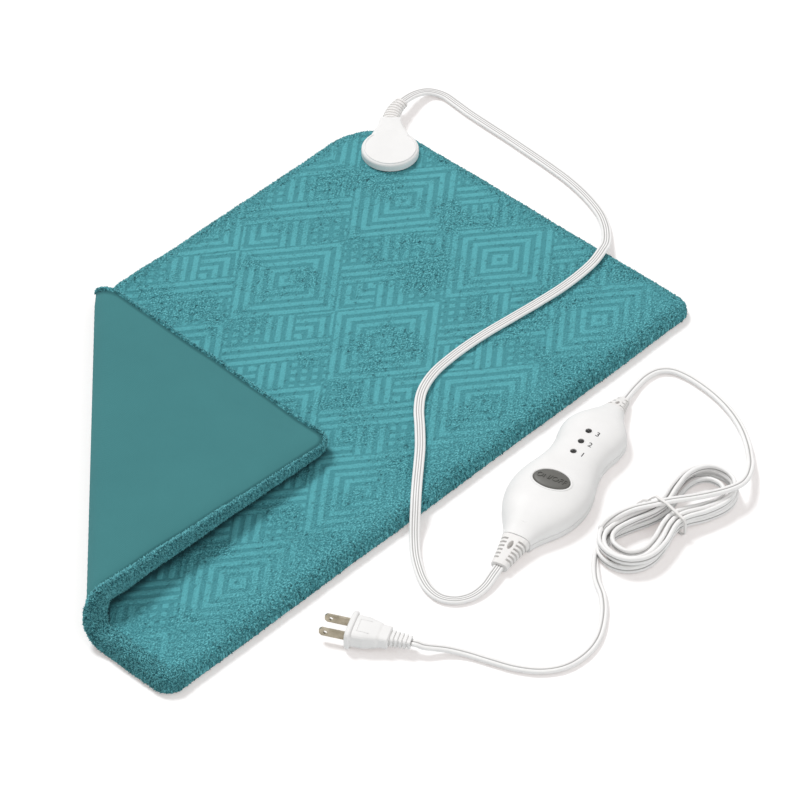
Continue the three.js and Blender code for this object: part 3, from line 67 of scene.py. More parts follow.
# The layout counts in millimetres from the pad's near corner; the terminal block gives its place in the frame
block_low, block_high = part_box("pad_terminal_block")
HEAD_FROM_END, HEAD_FROM_SIDE = 28.2, 43
HEAD_AT = (PAD_LENGTH - HEAD_FROM_END, PAD_WIDTH - HEAD_FROM_SIDE)
SHIFT = Vector(((block_low.x + block_high.x) / 2 - HEAD_AT[0] * MM,
                (block_low.y + block_high.y) / 2 - HEAD_AT[1] * MM, 0.0))


def place(x, y, z=0.0):
    return Vector((x, y, z)) * MM + SHIFT


def local_frame(x, y, degrees):
    """Matrix from a turned frame, in millimetres, to the row frame, in metres."""
    return (Matrix.Translation(place(x, y)) @ Matrix.Rotation(math.radians(degrees), 4, "Z")
            @ Matrix.Scale(MM, 4))


CONTROLLER = local_frame(321, -48, 15)
CONNECTOR = local_frame(*HEAD_AT, 43)
HANK = local_frame(337, -123, -2)
PLUG = local_frame(125.8, -58.1, 116.7)


def loose(name, data):
    """An object that rides on no body yet."""
    made = bpy.data.objects.new(name, data)
    bpy.context.scene.collection.objects.link(made)
    return made


def aimed(name, data, at, direction):
    """A camera or lamp at a place, looking along a direction."""
    made = loose(name, data)
    made.location, made.rotation_mode = at, "QUATERNION"
    made.rotation_quaternion = direction.to_track_quat("-Z", "Y")
    return made


# Camera at the photograph's angle
YAW, PITCH, DISTANCE = math.radians(43.34), math.radians(42.38), 3236.9
SENSOR_WIDTH, FOCAL_LENGTH, LOOK_AT = 36, 216, (304.9, 87.3)
forward = Vector((math.cos(PITCH) * math.cos(YAW), math.cos(PITCH) * math.sin(YAW), -math.sin(PITCH)))
camera_data = bpy.data.cameras.new("camera")
camera_data.sensor_width, camera_data.lens = SENSOR_WIDTH, FOCAL_LENGTH
camera_data.clip_start, camera_data.clip_end = 0.05, 50
bpy.context.scene.camera = aimed("camera", camera_data, place(*LOOK_AT) - forward * DISTANCE * MM, forward)
bpy.context.scene.view_settings.view_transform = "Standard"


# Mesh helpers
def smoothed(mesh):
    mesh.polygons.foreach_set("use_smooth", [True] * len(mesh.polygons))


def add_object(name, mesh, body=MAIN, smooth=True):
    made = loose(name, mesh)
    if smooth:
        smoothed(mesh)
    if body:
        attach(made, body)
    return made


def mesh_of(name, vertices, faces):
    mesh = bpy.data.meshes.new(name)
    mesh.from_pydata([tuple(v) for v in vertices], [], faces)
    mesh.update()
    return mesh


def angles(full, steps):
    """Angles from 0 to full in equal steps, with both ends."""
    return [full * k / steps for k in range(steps + 1)]


def around(steps):
    return angles(2 * math.pi, steps)[:-1]


def oval(x, y, along, across, turns):
    """Points of an oval with the given half sizes."""
    return [(x + along * math.cos(a), y + across * math.sin(a)) for a in turns]


def skin(name, rings, closed_ends=True, more_faces=()):
    """A mesh through rings of equal count."""
    count, last = len(rings[0]), len(rings) - 1
    sides = [(j, (j + 1) % count) for j in range(count)]
    faces = [(i * count + j, i * count + k, (i + 1) * count + k, (i + 1) * count + j)
             for i in range(last) for j, k in sides]
    if closed_ends:
        faces += [tuple(range(count - 1, -1, -1)), tuple(range(last * count, (last + 1) * count))]
    return mesh_of(name, [v for ring in rings for v in ring], faces + list(more_faces))


def point_values(mesh, name, values):
    """Stores a number for each point of a mesh, which a material reads by its name."""
    stored = mesh.attributes.new(name, "FLOAT", "POINT")
    stored.data.foreach_set("value", np.asarray(values, dtype=np.float32))


def clean(mesh, distance):
    """Joins points that coincide and turns all faces outward."""
    work = bmesh.new()
    work.from_mesh(mesh)
    bmesh.ops.remove_doubles(work, verts=work.verts, dist=distance)
    bmesh.ops.dissolve_degenerate(work, edges=work.edges, dist=distance / 10)
    bmesh.ops.recalc_face_normals(work, faces=work.faces)
    work.to_mesh(mesh)
    work.free()
    return mesh


def catmull(points, step, closed=False):
    """Points every step along a centripetal curve through the given points."""
    count = len(points)
    ends = [points[0] * 2 - points[1], *points, points[-1] * 2 - points[-2]]
    line = []
    for i in range(count if closed else count - 1):
        if closed:
            a, b, c, d = (points[(i + k - 1) % count] for k in range(4))
        else:
            a, b, c, d = ends[i:i + 4]
        knots, spans = [0.0], ((a, b), (b, c), (c, d))
        for p, q in spans:
            knots.append(knots[-1] + max((q - p).length, 1e-9) ** 0.5)
        pieces = max(2, round((c - b).length / (step / 4)))
        for k in range(pieces):
            t = knots[1] + (knots[2] - knots[1]) * k / pieces
            mix = lambda p, q, s, e: p * ((e - t) / (e - s)) + q * ((t - s) / (e - s))
            ab, bc, cd = (mix(p, q, knots[j], knots[j + 1]) for j, (p, q) in enumerate(spans))
            abc, bcd = mix(ab, bc, knots[0], knots[2]), mix(bc, cd, knots[1], knots[3])
            line.append(mix(abc, bcd, knots[1], knots[2]))
    line.append(line[0] if closed else points[-1])
    return spaced(line, step)


def spaced(line, step):
    """The line again with its points about step apart."""
    lengths = [0.0]
    for p, q in zip(line, line[1:]):
        lengths.append(lengths[-1] + (q - p).length)
    count = max(2, round(lengths[-1] / step))
    result, i = [], 0
    for k in range(count + 1):
        target = lengths[-1] * k / count
        while i < len(line) - 2 and lengths[i + 1] < target:
            i += 1
        share = (target - lengths[i]) / max(lengths[i + 1] - lengths[i], 1e-9)
        result.append(line[i].lerp(line[i + 1], min(max(share, 0), 1)))
    return result


def length_of(line):
    return sum((q - p).length for p, q in zip(line, line[1:]))


def tube(name, line, section, roll=None, groove_shading=None):
    """A closed tube along the line. section holds points (across, up); roll(i) turns it about the line."""
    rings = []
    for i, point in enumerate(line):
        along = (line[min(i + 1, len(line) - 1)] - line[max(i - 1, 0)]).normalized()
        side = along.cross(Vector((0, 0, 1))).normalized()
        up = side.cross(along)
        turn = roll(i) if roll else 0.0
        rings.append([point + side * (u * math.cos(turn) - v * math.sin(turn))
                      + up * (u * math.sin(turn) + v * math.cos(turn)) for u, v in section])
    mesh = skin(name, rings)
    # groove_shading says where the material paints shade into the tube's grooves
    if groove_shading:
        point_values(mesh, "groove", groove_shading * len(line))
    return add_object(name, mesh)


def groove_shade_shares(cores, steps):
    """For each point of a cord's outline, its share of painted shade: 1 in a groove between cores and 0 away
    from it.
    """
    upper = []
    for core in range(cores):
        for k in range(steps + 1):
            from_left, from_right = k if core else steps, steps - k if core < cores - 1 else steps
            upper.append({0: 1.0, 1: 0.3}.get(min(from_left, from_right), 0.0))
    return upper + list(reversed(upper[1:-1]))


def cored_section(cores, width, thickness, steps):
    """Outline of a flat cord whose cores lie side by side, with a groove between each two."""
    radius = thickness / 2
    pitch = (width - thickness) / (cores - 1)
    upper = []
    # Cores meet a little above the place where their circles would cross, so that the groove has a floor
    meeting = math.degrees(math.asin(min(pitch / 2 / radius, 1))) * 0.86
    for core in range(cores):
        centre = -(width - thickness) / 2 + core * pitch
        first = 180 if core == 0 else 90 + meeting
        last = 0 if core == cores - 1 else 180 - first if core else 90 - meeting
        for k in range(steps + 1):
            angle = math.radians(first + (last - first) * k / steps)
            upper.append((centre + radius * math.cos(angle), radius * math.sin(angle)))
    lower = [(u, -v) for u, v in reversed(upper[1:-1])]
    return upper + lower


def cord(name, line, cores, width, thickness, steps, roll=None):
    """A flat cord along the line, in millimetres across."""
    section = [(u * MM, v * MM) for u, v in cored_section(cores, width, thickness, steps)]
    return tube(name, line, section, roll, groove_shade_shares(cores, steps))


def smooth_step(x, low, high):
    t = min(max((x - low) / (high - low), 0.0), 1.0)
    return t * t * (3 - 2 * t)


# Cords: the routes are the ones that the CAD solids follow, and the hank's strands lie more loosely on theirs
def turned(matrix, x, y, z):
    return matrix @ Vector((x, y, z))


RELIEF_LENGTH, RELIEF_TURN, RELIEF_FINS, NECK_REACH, NECK_LEVEL = 27, math.radians(39), 9, 37, 9
relief_radius = RELIEF_LENGTH / RELIEF_TURN


def connector_exit(beyond):
    """A point of the pad cord this far beyond the end of the connector's bent relief."""
    angle = (RELIEF_LENGTH - RELIEF_LENGTH / RELIEF_FINS / 2) / relief_radius
    x = NECK_REACH + GAP + relief_radius * math.sin(angle) + beyond * math.cos(angle)
    y = -relief_radius * (1 - math.cos(angle)) - beyond * math.sin(angle)
    return turned(CONNECTOR, x, y, NECK_LEVEL)


# The controller with its reliefs: their lengths, where they end and the level of the cord in them
CONTROLLER_LENGTH, LOWER_RELIEF, UPPER_RELIEF, RELIEF_FOOT = 142, 24, 16, 0.8
LOWER_END = -(CONTROLLER_LENGTH / 2 + GAP + LOWER_RELIEF)
UPPER_END = CONTROLLER_LENGTH / 2 + GAP + UPPER_RELIEF
LOWER_Z, UPPER_Z = RELIEF_FOOT + 3.5, RELIEF_FOOT + 2.8
pad_cord_route = [connector_exit(GAP), connector_exit(4)] + [place(*p) for p in (
    (547.5, 299.6, 6), (558, 296.8, 3.3), (563.2, 287.6, 1.9), (562.5, 274, 1.7), (561, 260, 1.7),
    (560, 242, 1.7), (559, 220, 1.7), (557.5, 198, 1.7), (556, 178, 1.7), (553.5, 157, 1.7),
    (549, 137, 1.7), (541.5, 117, 1.8), (534, 105.5, 2), (527, 98, 2.8), (520, 92, 5), (514, 87.6, 7.9),
    (509, 84.4, 10.6), (504, 81.8, 12.8), (498, 79.3, 13.8), (489, 76.8, 13.9), (474, 75, 13.9),
    (453, 74.5, 13.9), (430, 76, 13.9), (405, 78.4, 13.9), (378, 80.8, 13.9), (350, 81, 13.9),
    (328, 78.5, 13.9), (310, 71.8, 13.9), (296, 61.5, 13.9), (283, 48.5, 13.9), (270, 36, 13.9),
    (257, 25, 13.9), (247, 16.8, 13.9), (238, 9.3, 13.6), (232, 4.2, 12.6), (226, -1, 10.2), (220, -6.2, 7.2),
    (214, -11.6, 4.6), (207.5, -18, 2.5), (201, -25, 1.8), (194.5, -33.5, 1.7), (188.5, -43, 1.7),
    (184.5, -53, 1.7), (184, -63, 1.7), (189, -71.5, 1.7), (198, -76.5, 1.8), (209, -77.4, 2.6),
)] + [turned(CONTROLLER, LOWER_END - 8, 0, LOWER_Z - 0.3), turned(CONTROLLER, LOWER_END - GAP, 0, LOWER_Z)]

lead_route = [turned(CONTROLLER, UPPER_END + GAP, 0, UPPER_Z),
              turned(CONTROLLER, UPPER_END + 4, 0, UPPER_Z - 0.3)]
lead_route += [place(*p) for p in (
    (415, -22.7, 2.8), (425, -20.4, 2), (435.5, -19.4, 1.9), (445, -21.5, 1.9), (451.5, -28, 1.9),
    (454, -38, 1.9), (454, -53, 1.9), (451.5, -70, 1.9), (446.5, -86, 1.9), (439, -101, 1.9),
    (430, -113.5, 2.2), (420, -124, 4), (410.5, -132, 7.4),
)]

# The hank: half its size, its turns, how far apart its strands and its two layers lie, a strand's height,
# where the outline starts, over how many points its direction is taken, and the points in a turn
HALF_LENGTH, HALF_WIDTH, TURNS, LANE, LAYER = 58, 22, 5.04, 4.2, 6
STRAND_HEIGHT, START_SHARE, REACH, TURN_STEPS = 5.4, 0.395, 6, 60
lead_over = [Vector((u * HALF_LENGTH, v * HALF_WIDTH, z * (LAYER + STRAND_HEIGHT))) for u, v, z in (
    (1.05, -0.66, 1), (0.9, -0.78, 1.18), (0.72, -0.73, 1.32), (0.53, -0.52, 1.335), (0.33, -0.23, 1.34),
    (0.12, 0.11, 1.37), (-0.09, 0.41, 1.37), (-0.29, 0.69, 1.335), (-0.48, 0.88, 1.19), (-0.64, 0.97, 0.98),
    (-0.75, 0.92, 0.825))]


def hank_line():
    """The hank's loops in its own frame: in along the upper layer's lanes and out along the lower one's."""
    quarter = [(1, 0), (0.95, 0.52), (0.8, 0.88), (0.6, 1), (0.35, 0.88), (0, 0.6)]
    shares = quarter + [(-u, v) for u, v in reversed(quarter[:-1])]
    shares += [(-u, -v) for u, v in quarter[1:]] + [(u, -v) for u, v in reversed(quarter[1:-1])]
    ring = catmull([Vector((u * HALF_LENGTH, v * HALF_WIDTH, 0)) for u, v in shares], 0.25, closed=True)
    line = []
    for i in range(round(TURNS * TURN_STEPS) + 1):
        turn = i / TURN_STEPS
        at = (START_SHARE + turn) % 1.0 * (len(ring) - 1)
        near = int(at)
        point = ring[near].lerp(ring[min(near + 1, len(ring) - 1)], at - near)
        along = (ring[(near + REACH) % (len(ring) - 1)] - ring[(near - REACH) % (len(ring) - 1)]).normalized()
        inward = LANE * (TURNS / 2 - abs(turn - TURNS / 2))
        # Away from the tie the strands lie loosely: they spread, rise and cross a little
        lobe = (point.x / HALF_LENGTH) ** 2
        inward = inward * (1.16 if point.x < 0 else 0.94) ** lobe
        drop = smooth_step(turn, TURNS / 2 - 0.25, TURNS / 2 + 0.25)
        inward += lobe * (2.4 * math.sin(2.9 * turn + 0.6) + 1.7 * math.sin(6.1 * turn + 2.0) - 0.6)
        ending = smooth_step(turn, TURNS - 0.6, TURNS - 0.05)
        inward -= lobe * drop * (4.2 if point.x < 0 else 1.2) * (1 - ending)
        # They rise a little over the tie
        lift = 1.7 * math.exp(-((point.x / 14) ** 2))
        line.append(Vector((point.x - along.y * inward, point.y + along.x * inward,
                            STRAND_HEIGHT / 2 + 0.3 + LAYER * (1 - drop) + lift
                            + lobe * (0.8 + 0.8 * math.sin(4.4 * turn + 1.0)) * (1 - 0.6 * drop))))
    out = line[-1] - line[-2]
    out.z = 0
    line.append(line[-1] + out.normalized() * STRAND_HEIGHT)
    return line


hank_loops = hank_line()
hank_out = (hank_loops[-1] - hank_loops[-2]).normalized()
PLUG_FRONT, PLUG_FLANGE, PLUG_BODY, PLUG_COLLAR, PLUG_RELIEF = 16, 3.4, 18, 6, 14
PLUG_END = PLUG_FRONT - PLUG_FLANGE - PLUG_BODY - PLUG_COLLAR - PLUG_RELIEF
tail_route = [turned(HANK, *(hank_loops[-1] + hank_out * 4))]
tail_route += [place(*p) for p in (
    (265.5, -125, 2), (256.5, -138, 1.9), (244, -150, 1.9), (225, -161.5, 1.9), (208, -165, 1.9),
    (192, -162.5, 1.9), (179.5, -154, 1.9), (170.5, -141, 1.9), (164, -125, 1.9), (158, -109.5, 2.2),
    (151, -98.5, 3.8),
)]
tail_route += [turned(PLUG, PLUG_END - before, 0, z) for before, z in ((8, 6.5), (4, 7.5), (GAP, 7.5))]

CORD_STEP, HANK_STEP = 2 * MM, 2.4 * MM
pad_cord_line = catmull(pad_cord_route, CORD_STEP)
pad_cord = cord("pad_cord_ribbon", pad_cord_line, 4, 7.2, 2.6, 5)
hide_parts("pad_cord")
connector_exit(0)
round(length_of(pad_cord_line), 3)

# The mains cord lies flat, stands on edge in the hank's lanes and lies flat again
lead_line = catmull(lead_route + [turned(HANK, *p) for p in lead_over], CORD_STEP)
loops_line = spaced([turned(HANK, *p) for p in hank_loops], HANK_STEP)
tail_line = catmull([turned(HANK, *hank_loops[-1])] + tail_route, CORD_STEP)
mains_line = lead_line + loops_line + tail_line[1:]
edge_from, edge_to = len(lead_line), len(lead_line) + len(loops_line)


def on_edge(i):
    """Roll of the mains cord at a point: upright in the hank, where its strands lean a little to and fro."""
    rise = smooth_step(i, edge_from - 16, edge_from + 2)
    fall = smooth_step(i, edge_to - 3, edge_to + 12)
    lean = smooth_step(i, edge_from, edge_from + 20) - smooth_step(i, edge_to - 20, edge_to)
    along = ((mains_line[i] - HANK.translation) @ HANK.to_3x3().normalized()).x
    far = min(abs(along) / (HALF_LENGTH * MM), 1)
    return math.pi / 2 * (rise - fall) + 0.62 * lean * far * far * math.sin(i / 13.7 + 0.8)


mains_cord = cord("mains_cord_pair", mains_line, 2, 5.6, 3.0, 7, roll=on_edge)
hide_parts("mains_cord_lead", "mains_cord_hank", "mains_cord_tail")
turned(CONTROLLER, UPPER_END, 0, UPPER_Z)
round(length_of(mains_line), 3)


# Materials
def srgb(red, green, blue):
    return tuple((c / 12.92 if c <= 0.04045 else ((c + 0.055) / 1.055) ** 2.4)
                 for c in (red / 255, green / 255, blue / 255)) + (1.0,)


def feed(tree, slot, value):
    """Links a field or a socket to a node's input, or sets the input to a plain value."""
    if isinstance(value, Field):
        value = value.socket
    if isinstance(value, bpy.types.NodeSocket):
        tree.links.new(value, slot)
    else:
        slot.default_value = value


def operator(operation):
    return lambda field, *others: field.math(operation, *others)


class Field:
    """A number that varies over a surface: arithmetic on it adds shader nodes."""

    def __init__(self, tree, socket):
        self.tree, self.socket = tree, socket

    def math(self, operation, *others, clamp=False):
        node = self.tree.nodes.new("ShaderNodeMath")
        node.operation, node.use_clamp = operation, clamp
        for slot, value in zip(node.inputs, (self, *others)):
            feed(self.tree, slot, value)
        return Field(self.tree, node.outputs[0])

    __add__, __sub__, __mul__ = operator("ADD"), operator("SUBTRACT"), operator("MULTIPLY")
    __truediv__, __abs__ = operator("DIVIDE"), operator("ABSOLUTE")


def either(operation, plain):
    """A function that adds a node for a field, and works out plain numbers at once."""
    return lambda x, *others: x.math(operation, *others) if isinstance(x, Field) else plain(x, *others)


floor_of = either("FLOOR", np.floor)
larger, smaller = either("MAXIMUM", np.maximum), either("MINIMUM", np.minimum)


def clamped(x):
    return (x * 1).math("ADD", 0.0, clamp=True) if isinstance(x, Field) else np.clip(x, 0, 1)


def stripe(x, half=0.27):
    """1 on the middle of each unit of x and 0 near its ends, with a short slope between."""
    from_middle = abs(x - floor_of(x) - 0.5)
    return clamped((from_middle * -1 + half) / 0.1 + 0.5)


def pattern(x, y):
    """The embossed pattern at a flat point of the pad, in millimetres: nested diamonds, chevrons and dots."""
    u, v = (x - 331) / 58.5, (y - 127) / 46
    p, q = (u + v) * 0.5, (u - v) * 0.5
    m, n = floor_of(p + 0.5), floor_of(q + 0.5)
    a, b = (p - m) * 10, (q - n) * 10
    rings = stripe(larger(abs(a), abs(b)))
    c, d = larger(abs(a) - 1.5, 0.0), larger(abs(b) - 1.5, 0.0)
    nested = stripe(larger(c, d))
    dots = stripe(c) * stripe(d)
    side = clamped(a * b * 50)
    quarter = nested * side + dots * (side * -1 + 1)
    on_a = clamped((abs(a) * -1 + 1.5) * 50)
    on_b = clamped((abs(b) * -1 + 1.5) * 50)
    cross = larger(on_a, on_b)
    plus = smaller(on_a * stripe(abs(a) + 0.5) + on_b * stripe(abs(b) + 0.5) * (on_a * -1 + 1), 1.0)
    between = quarter * (cross * -1 + 1) + plus * cross
    half = (m + n) * 0.5
    odd = clamped((half - floor_of(half)) * 4)
    return rings * (odd * -1 + 1) + between * odd


class Shader:
    """A node material with a Principled shader, and short calls for the nodes that feed it."""

    def __init__(self, name):
        self.material = bpy.data.materials.new(name)
        self.material.use_nodes = True
        self.tree = self.material.node_tree
        self.surface = self.tree.nodes["Principled BSDF"]
        self.coordinates = self.tree.nodes.new("ShaderNodeTexCoord")

    def set(self, **values):
        for key, value in values.items():
            feed(self.tree, self.surface.inputs[key.replace("_", " ").title().replace("Ior", "IOR")], value)

    def node(self, kind, inputs=None, **settings):
        node = self.tree.nodes.new("ShaderNode" + kind)
        for key, value in settings.items():
            setattr(node, key, value)
        for key, value in (inputs or {}).items():
            feed(self.tree, node.inputs[key], value)
        return node

    def places(self, stretch):
        inputs = {"Vector": self.coordinates.outputs["Object"], "Scale": stretch}
        return self.node("Mapping", inputs).outputs[0]

    def noise(self, scale, detail, rough, of=None):
        node = self.node("TexNoise", {"Vector": of or self.coordinates.outputs["Object"], "Scale": scale,
                                      "Detail": detail, "Roughness": rough})
        return Field(self.tree, node.outputs[0])

    def flat(self):
        """The place on the flat pad, in metres."""
        return self.node("UVMap", uv_map="flat").outputs[0]

    def stored(self, name):
        """A number that the mesh stores for each point."""
        return Field(self.tree, self.node("Attribute", attribute_name=name).outputs["Fac"])

    def range(self, value, low, high, to_low, to_high, smooth=False):
        node = self.node("MapRange", {"Value": value, "From Min": low, "From Max": high,
                                      "To Min": to_low, "To Max": to_high},
                         interpolation_type="SMOOTHSTEP" if smooth else "LINEAR")
        return Field(self.tree, node.outputs[0])

    def mix(self, share, first, second):
        return self.node("Mix", {0: share, 6: first, 7: second}, data_type="RGBA").outputs[2]

    def tint(self, colour, other, value, low, high, share=1.0, start=0.0):
        """The colour mixed with the other: from start to share of it as the value goes from low to high."""
        return self.mix(self.range(value, low, high, start, share), colour, other)

    def bump(self, height, depth, strength, over=None):
        inputs = {"Height": height, "Distance": depth, "Strength": strength}
        if over:
            inputs["Normal"] = over
        return self.node("Bump", inputs).outputs[0]


def moulded(name, light, dark, rough, grain=0.00003, coat=0.0, shine=0.35, groove=None):
    """Moulded plastic: slight unevenness of tone, a fine eggshell grain, faint handling marks and, given a
    groove colour, painted shade in grooves.
    """
    shader = Shader(name)
    tone = shader.noise(45, 4, 0.6)
    fine = shader.noise(2400, 2, 0.5)
    marks = shader.noise(260, 5, 0.7, of=shader.places((1, 3, 1)))
    colour = shader.tint(light, dark, tone, 0.35, 0.65)
    # groove is the colour of the painted shade in the grooves
    if groove:
        colour = shader.tint(colour, groove, shader.stored("groove"), 0.1, 1.0, 0.8)
    roughness = shader.range(marks, 0.3, 0.7, *rough)
    waves = shader.bump(shader.noise(70, 2, 0.4), 0.00012, 0.5)
    shader.set(base_color=colour, roughness=roughness, normal=shader.bump(fine, grain, 0.6, over=waves),
               specular_ior_level=shine)
    if coat:
        shader.set(coat_weight=coat, coat_roughness=0.12)
    return shader.material


def metal(name, light, dark, rough, brushed=(1, 14, 1)):
    """Plated metal with a brushed grain, patches of tone and small scuffs."""
    shader = Shader(name)
    grain = shader.noise(300, 5, 0.65, of=shader.places(brushed))
    tone = shader.noise(120, 3, 0.6)
    scuffs = shader.noise(900, 4, 0.8)
    colour = shader.tint(light, dark, tone, 0.35, 0.65)
    colour = shader.tint(colour, dark, scuffs, 0.56, 0.7, 0.35)
    shader.set(base_color=colour, metallic=1.0, roughness=shader.range(grain, 0.3, 0.7, *rough),
               normal=shader.bump(grain, 0.00003, 0.5))
    return shader.material


def board_finish(name):
    """Green solder resist with paler tracks under it and small round pads."""
    shader = Shader(name)
    spread = shader.places((1, 1, 0))
    lanes = shader.node("TexBrick", {
        "Vector": spread, "Scale": 95.0, "Mortar Size": 0.045, "Mortar Smooth": 0.1,
        "Color1": srgb(34, 92, 58), "Color2": srgb(30, 84, 54), "Mortar": srgb(66, 128, 78)}).outputs["Color"]
    cells = shader.node("TexVoronoi", {"Vector": spread, "Scale": 210, "Randomness": 0.35}, feature="F1")
    dots = Field(shader.tree, cells.outputs["Distance"])
    colour = shader.tint(lanes, srgb(186, 176, 140), dots, 0.17, 0.13)
    weave = shader.noise(1800, 2, 0.5)
    shader.set(base_color=colour, roughness=shader.range(weave, 0.3, 0.7, 0.3, 0.45),
               normal=shader.bump(weave, 0.00002, 0.5), specular_ior_level=0.5)
    return shader.material


# The pad's cloth, in millimetres: its rim and pile, and the fold that the CAD solids follow
RIM_HEIGHT, RIM_RADIUS, PILE_RISE, CROWN = 3.6, 9, 7.4, 0.8
BEND_RADIUS, BEND_START, BEND_LEVEL = 10, -15.5, 5.5
LOOP_END = BEND_START + math.pi * BEND_RADIUS
# The fold crosses the pad's edges this far from the corner, whose tip comes to rest on the pad's top
FOLD_REACH, TIP_LEVEL = 230, 17.6
fold_start = np.array([FOLD_REACH, PAD_WIDTH], dtype=float)
fold_along = np.array([1.0, 1.0]) / math.sqrt(2)
fold_across = np.array([-1.0, 1.0]) / math.sqrt(2)
tip_run = FOLD_REACH / math.sqrt(2) - BEND_START - math.pi * BEND_RADIUS
flap_slope = math.asin((BEND_LEVEL + 2 * BEND_RADIUS - TIP_LEVEL) / tip_run)
bend_angle = math.pi + flap_slope


def ramp(x, low, high):
    t = np.clip((x - low) / (high - low), 0, 1)
    return t * t * (3 - 2 * t)


def lattice(x, y, seed):
    """A number from 0 to 1 for each whole pair of x and y."""
    mixed = np.sin(x * 127.1 + y * 311.7 + seed * 74.7) * 43758.5453
    return mixed - np.floor(mixed)


def uneven(x, y, size, seed):
    """Smooth noise from -1 to 1 over the plane, with bumps about size across."""
    x, y = x / size, y / size
    i, j = np.floor(x), np.floor(y)
    f, g = x - i, y - j
    f, g = f * f * (3 - 2 * f), g * g * (3 - 2 * g)
    low_row = lattice(i, j, seed) * (1 - f) + lattice(i + 1, j, seed) * f
    high_row = lattice(i, j + 1, seed) * (1 - f) + lattice(i + 1, j + 1, seed) * f
    return (low_row * (1 - g) + high_row * g) * 2 - 1


def fold_axes(x, y):
    """A flat point's distance past the fold's start, and its place along the fold."""
    dx, dy = x - fold_start[0], y - fold_start[1]
    return dx * fold_across[0] + dy * fold_across[1], dx * fold_along[0] + dy * fold_along[1]


def from_axes(s, t):
    """The flat point, as x and y, with the given distance past the fold's start and place along the fold."""
    return [fold_start[i] + fold_across[i] * s + fold_along[i] * t for i in (0, 1)]


def fold(x, y, h):
    """Takes flat points of the pad at height h to where they lie, with the far left corner folded over."""
    s, t = fold_axes(x, y)
    away = np.maximum(s - BEND_START, 0)
    angle = np.minimum(away / BEND_RADIUS, bend_angle)
    rest = np.maximum(away - BEND_RADIUS * bend_angle, 0)
    level = h - BEND_LEVEL
    # The free cloth lies in slow waves, and the pad's edges wander a little
    free = ramp(away, 20, 70)
    wave = free * (0.75 * uneven(s, t, 34, 3) + 0.4 * uneven(s, t, 19, 5))
    from_side = np.minimum(np.minimum(x, PAD_LENGTH - x), np.minimum(y, PAD_WIDTH - y))
    drift = (1 - ramp(from_side, 4, 22)) * np.where(away > 0, 1.0, 0.55)
    x = x + drift * (0.8 * uneven(s, t, 41, 13) + 0.45 * uneven(s, t, 17, 14))
    y = y + drift * (0.8 * uneven(s, t, 43, 15) + 0.45 * uneven(s, t, 18, 16))
    s, t = fold_axes(x, y)
    reach = BEND_START + BEND_RADIUS * np.sin(angle) + rest * np.cos(angle) - level * np.sin(angle)
    rise = BEND_LEVEL + BEND_RADIUS * (1 - np.cos(angle)) + rest * np.sin(angle) + level * np.cos(angle)
    across = np.where(away > 0, reach, s)
    rise = np.where(away > 0, rise + wave, h)
    px, py = from_axes(across, t)
    return np.stack([px * MM + SHIFT.x, py * MM + SHIFT.y, rise * MM], axis=-1)


def inset_lines(length, insets, pitch):
    """Lines across a side: close together near both ends as insets says, and pitch apart between."""
    last = insets[-1]
    spaces = 3 * max(1, round((length - 2 * last) / pitch / 3))
    middle = [last + (length - 2 * last) * k / spaces for k in range(1, spaces)]
    return np.array(list(insets) + middle + [length - d for d in reversed(insets)])


CONNECTOR_CORNER, PLAIN_CORNER = 45.0, 13.0


def rounded(x, y, margin=0.0):
    """Takes points of the plain rectangle to the rounded one, and gives their distance from the edge."""
    radius = np.where((x > PAD_LENGTH / 2) & (y > PAD_WIDTH / 2), CONNECTOR_CORNER, PLAIN_CORNER) - margin
    dx, dy = np.minimum(x - margin, PAD_LENGTH - margin - x), np.minimum(y - margin, PAD_WIDTH - margin - y)
    inset = np.minimum(dx, dy)
    rest = np.maximum(radius - inset, 0)
    along = np.maximum(dx, dy) - inset
    near = (along < rest) & (rest > 1e-6)
    angle = (math.pi / 4) * along / np.maximum(rest, 1e-6)
    # 0 at the corner's middle and an eighth of a turn at the arc's end
    turn = math.pi / 4 - angle
    first, second = radius - rest * np.cos(turn), radius - rest * np.sin(turn)
    to_x = np.where(dx <= dy, first, second)
    to_y = np.where(dx <= dy, second, first)
    new_dx, new_dy = np.where(near, to_x, dx) + margin, np.where(near, to_y, dy) + margin
    new_x = np.where(x > PAD_LENGTH / 2, PAD_LENGTH - new_dx, new_dx)
    new_y = np.where(y > PAD_WIDTH / 2, PAD_WIDTH - new_dy, new_dy)
    return new_x, new_y, inset


def fold_place(x, y):
    """How far a flat point lies past the fold's start, and the share of the free cloth that it has passed."""
    s = fold_axes(x, y)[0]
    return s, np.clip((s - BEND_START - math.pi * BEND_RADIUS) / tip_run, 0, 1)


def plush_top(d, x, y):
    """Level of the pile over the plain pad. Towards the fold its rim is fuller and nearly fills the loop."""
    s, rest = fold_place(x, y)
    full = 2.2 * ramp(s, BEND_START - 45, BEND_START - 2) + 3.0 * ramp(s, LOOP_END - 8, LOOP_END + 12)
    full = full * (1 - rest) ** 1.9 * np.exp(-((d - 6) / 7) ** 2) * ramp(d, 0, 3.5)
    swell = np.sqrt(np.clip(1 - (1 - np.minimum(d / RIM_RADIUS, 1)) ** 2, 0, 1))
    undercut = 1.7 * (1 - np.minimum(d / 1.2, 1)) ** 2
    return RIM_HEIGHT + PILE_RISE * swell + CROWN * np.minimum(d / 45, 1) - undercut + full


def free_share(x, y):
    """1 on the folded corner, 0 on the part that lies flat."""
    return ramp(fold_axes(x, y)[0], BEND_START + 4, BEND_START + 26)


# How far the plush reaches under the pad, and how much farther on the folded corner's near edge
SEAM_DEPTH, SEAM_EXTRA = 2.0, 4.2


def seam_depth(x, y):
    s, rest = fold_place(x, y)
    near_side = 1 - ramp(x, 20, 40)
    return SEAM_DEPTH + SEAM_EXTRA * near_side * ramp(s, BEND_START - 10, BEND_START + 10) * (1 - rest) ** 0.9


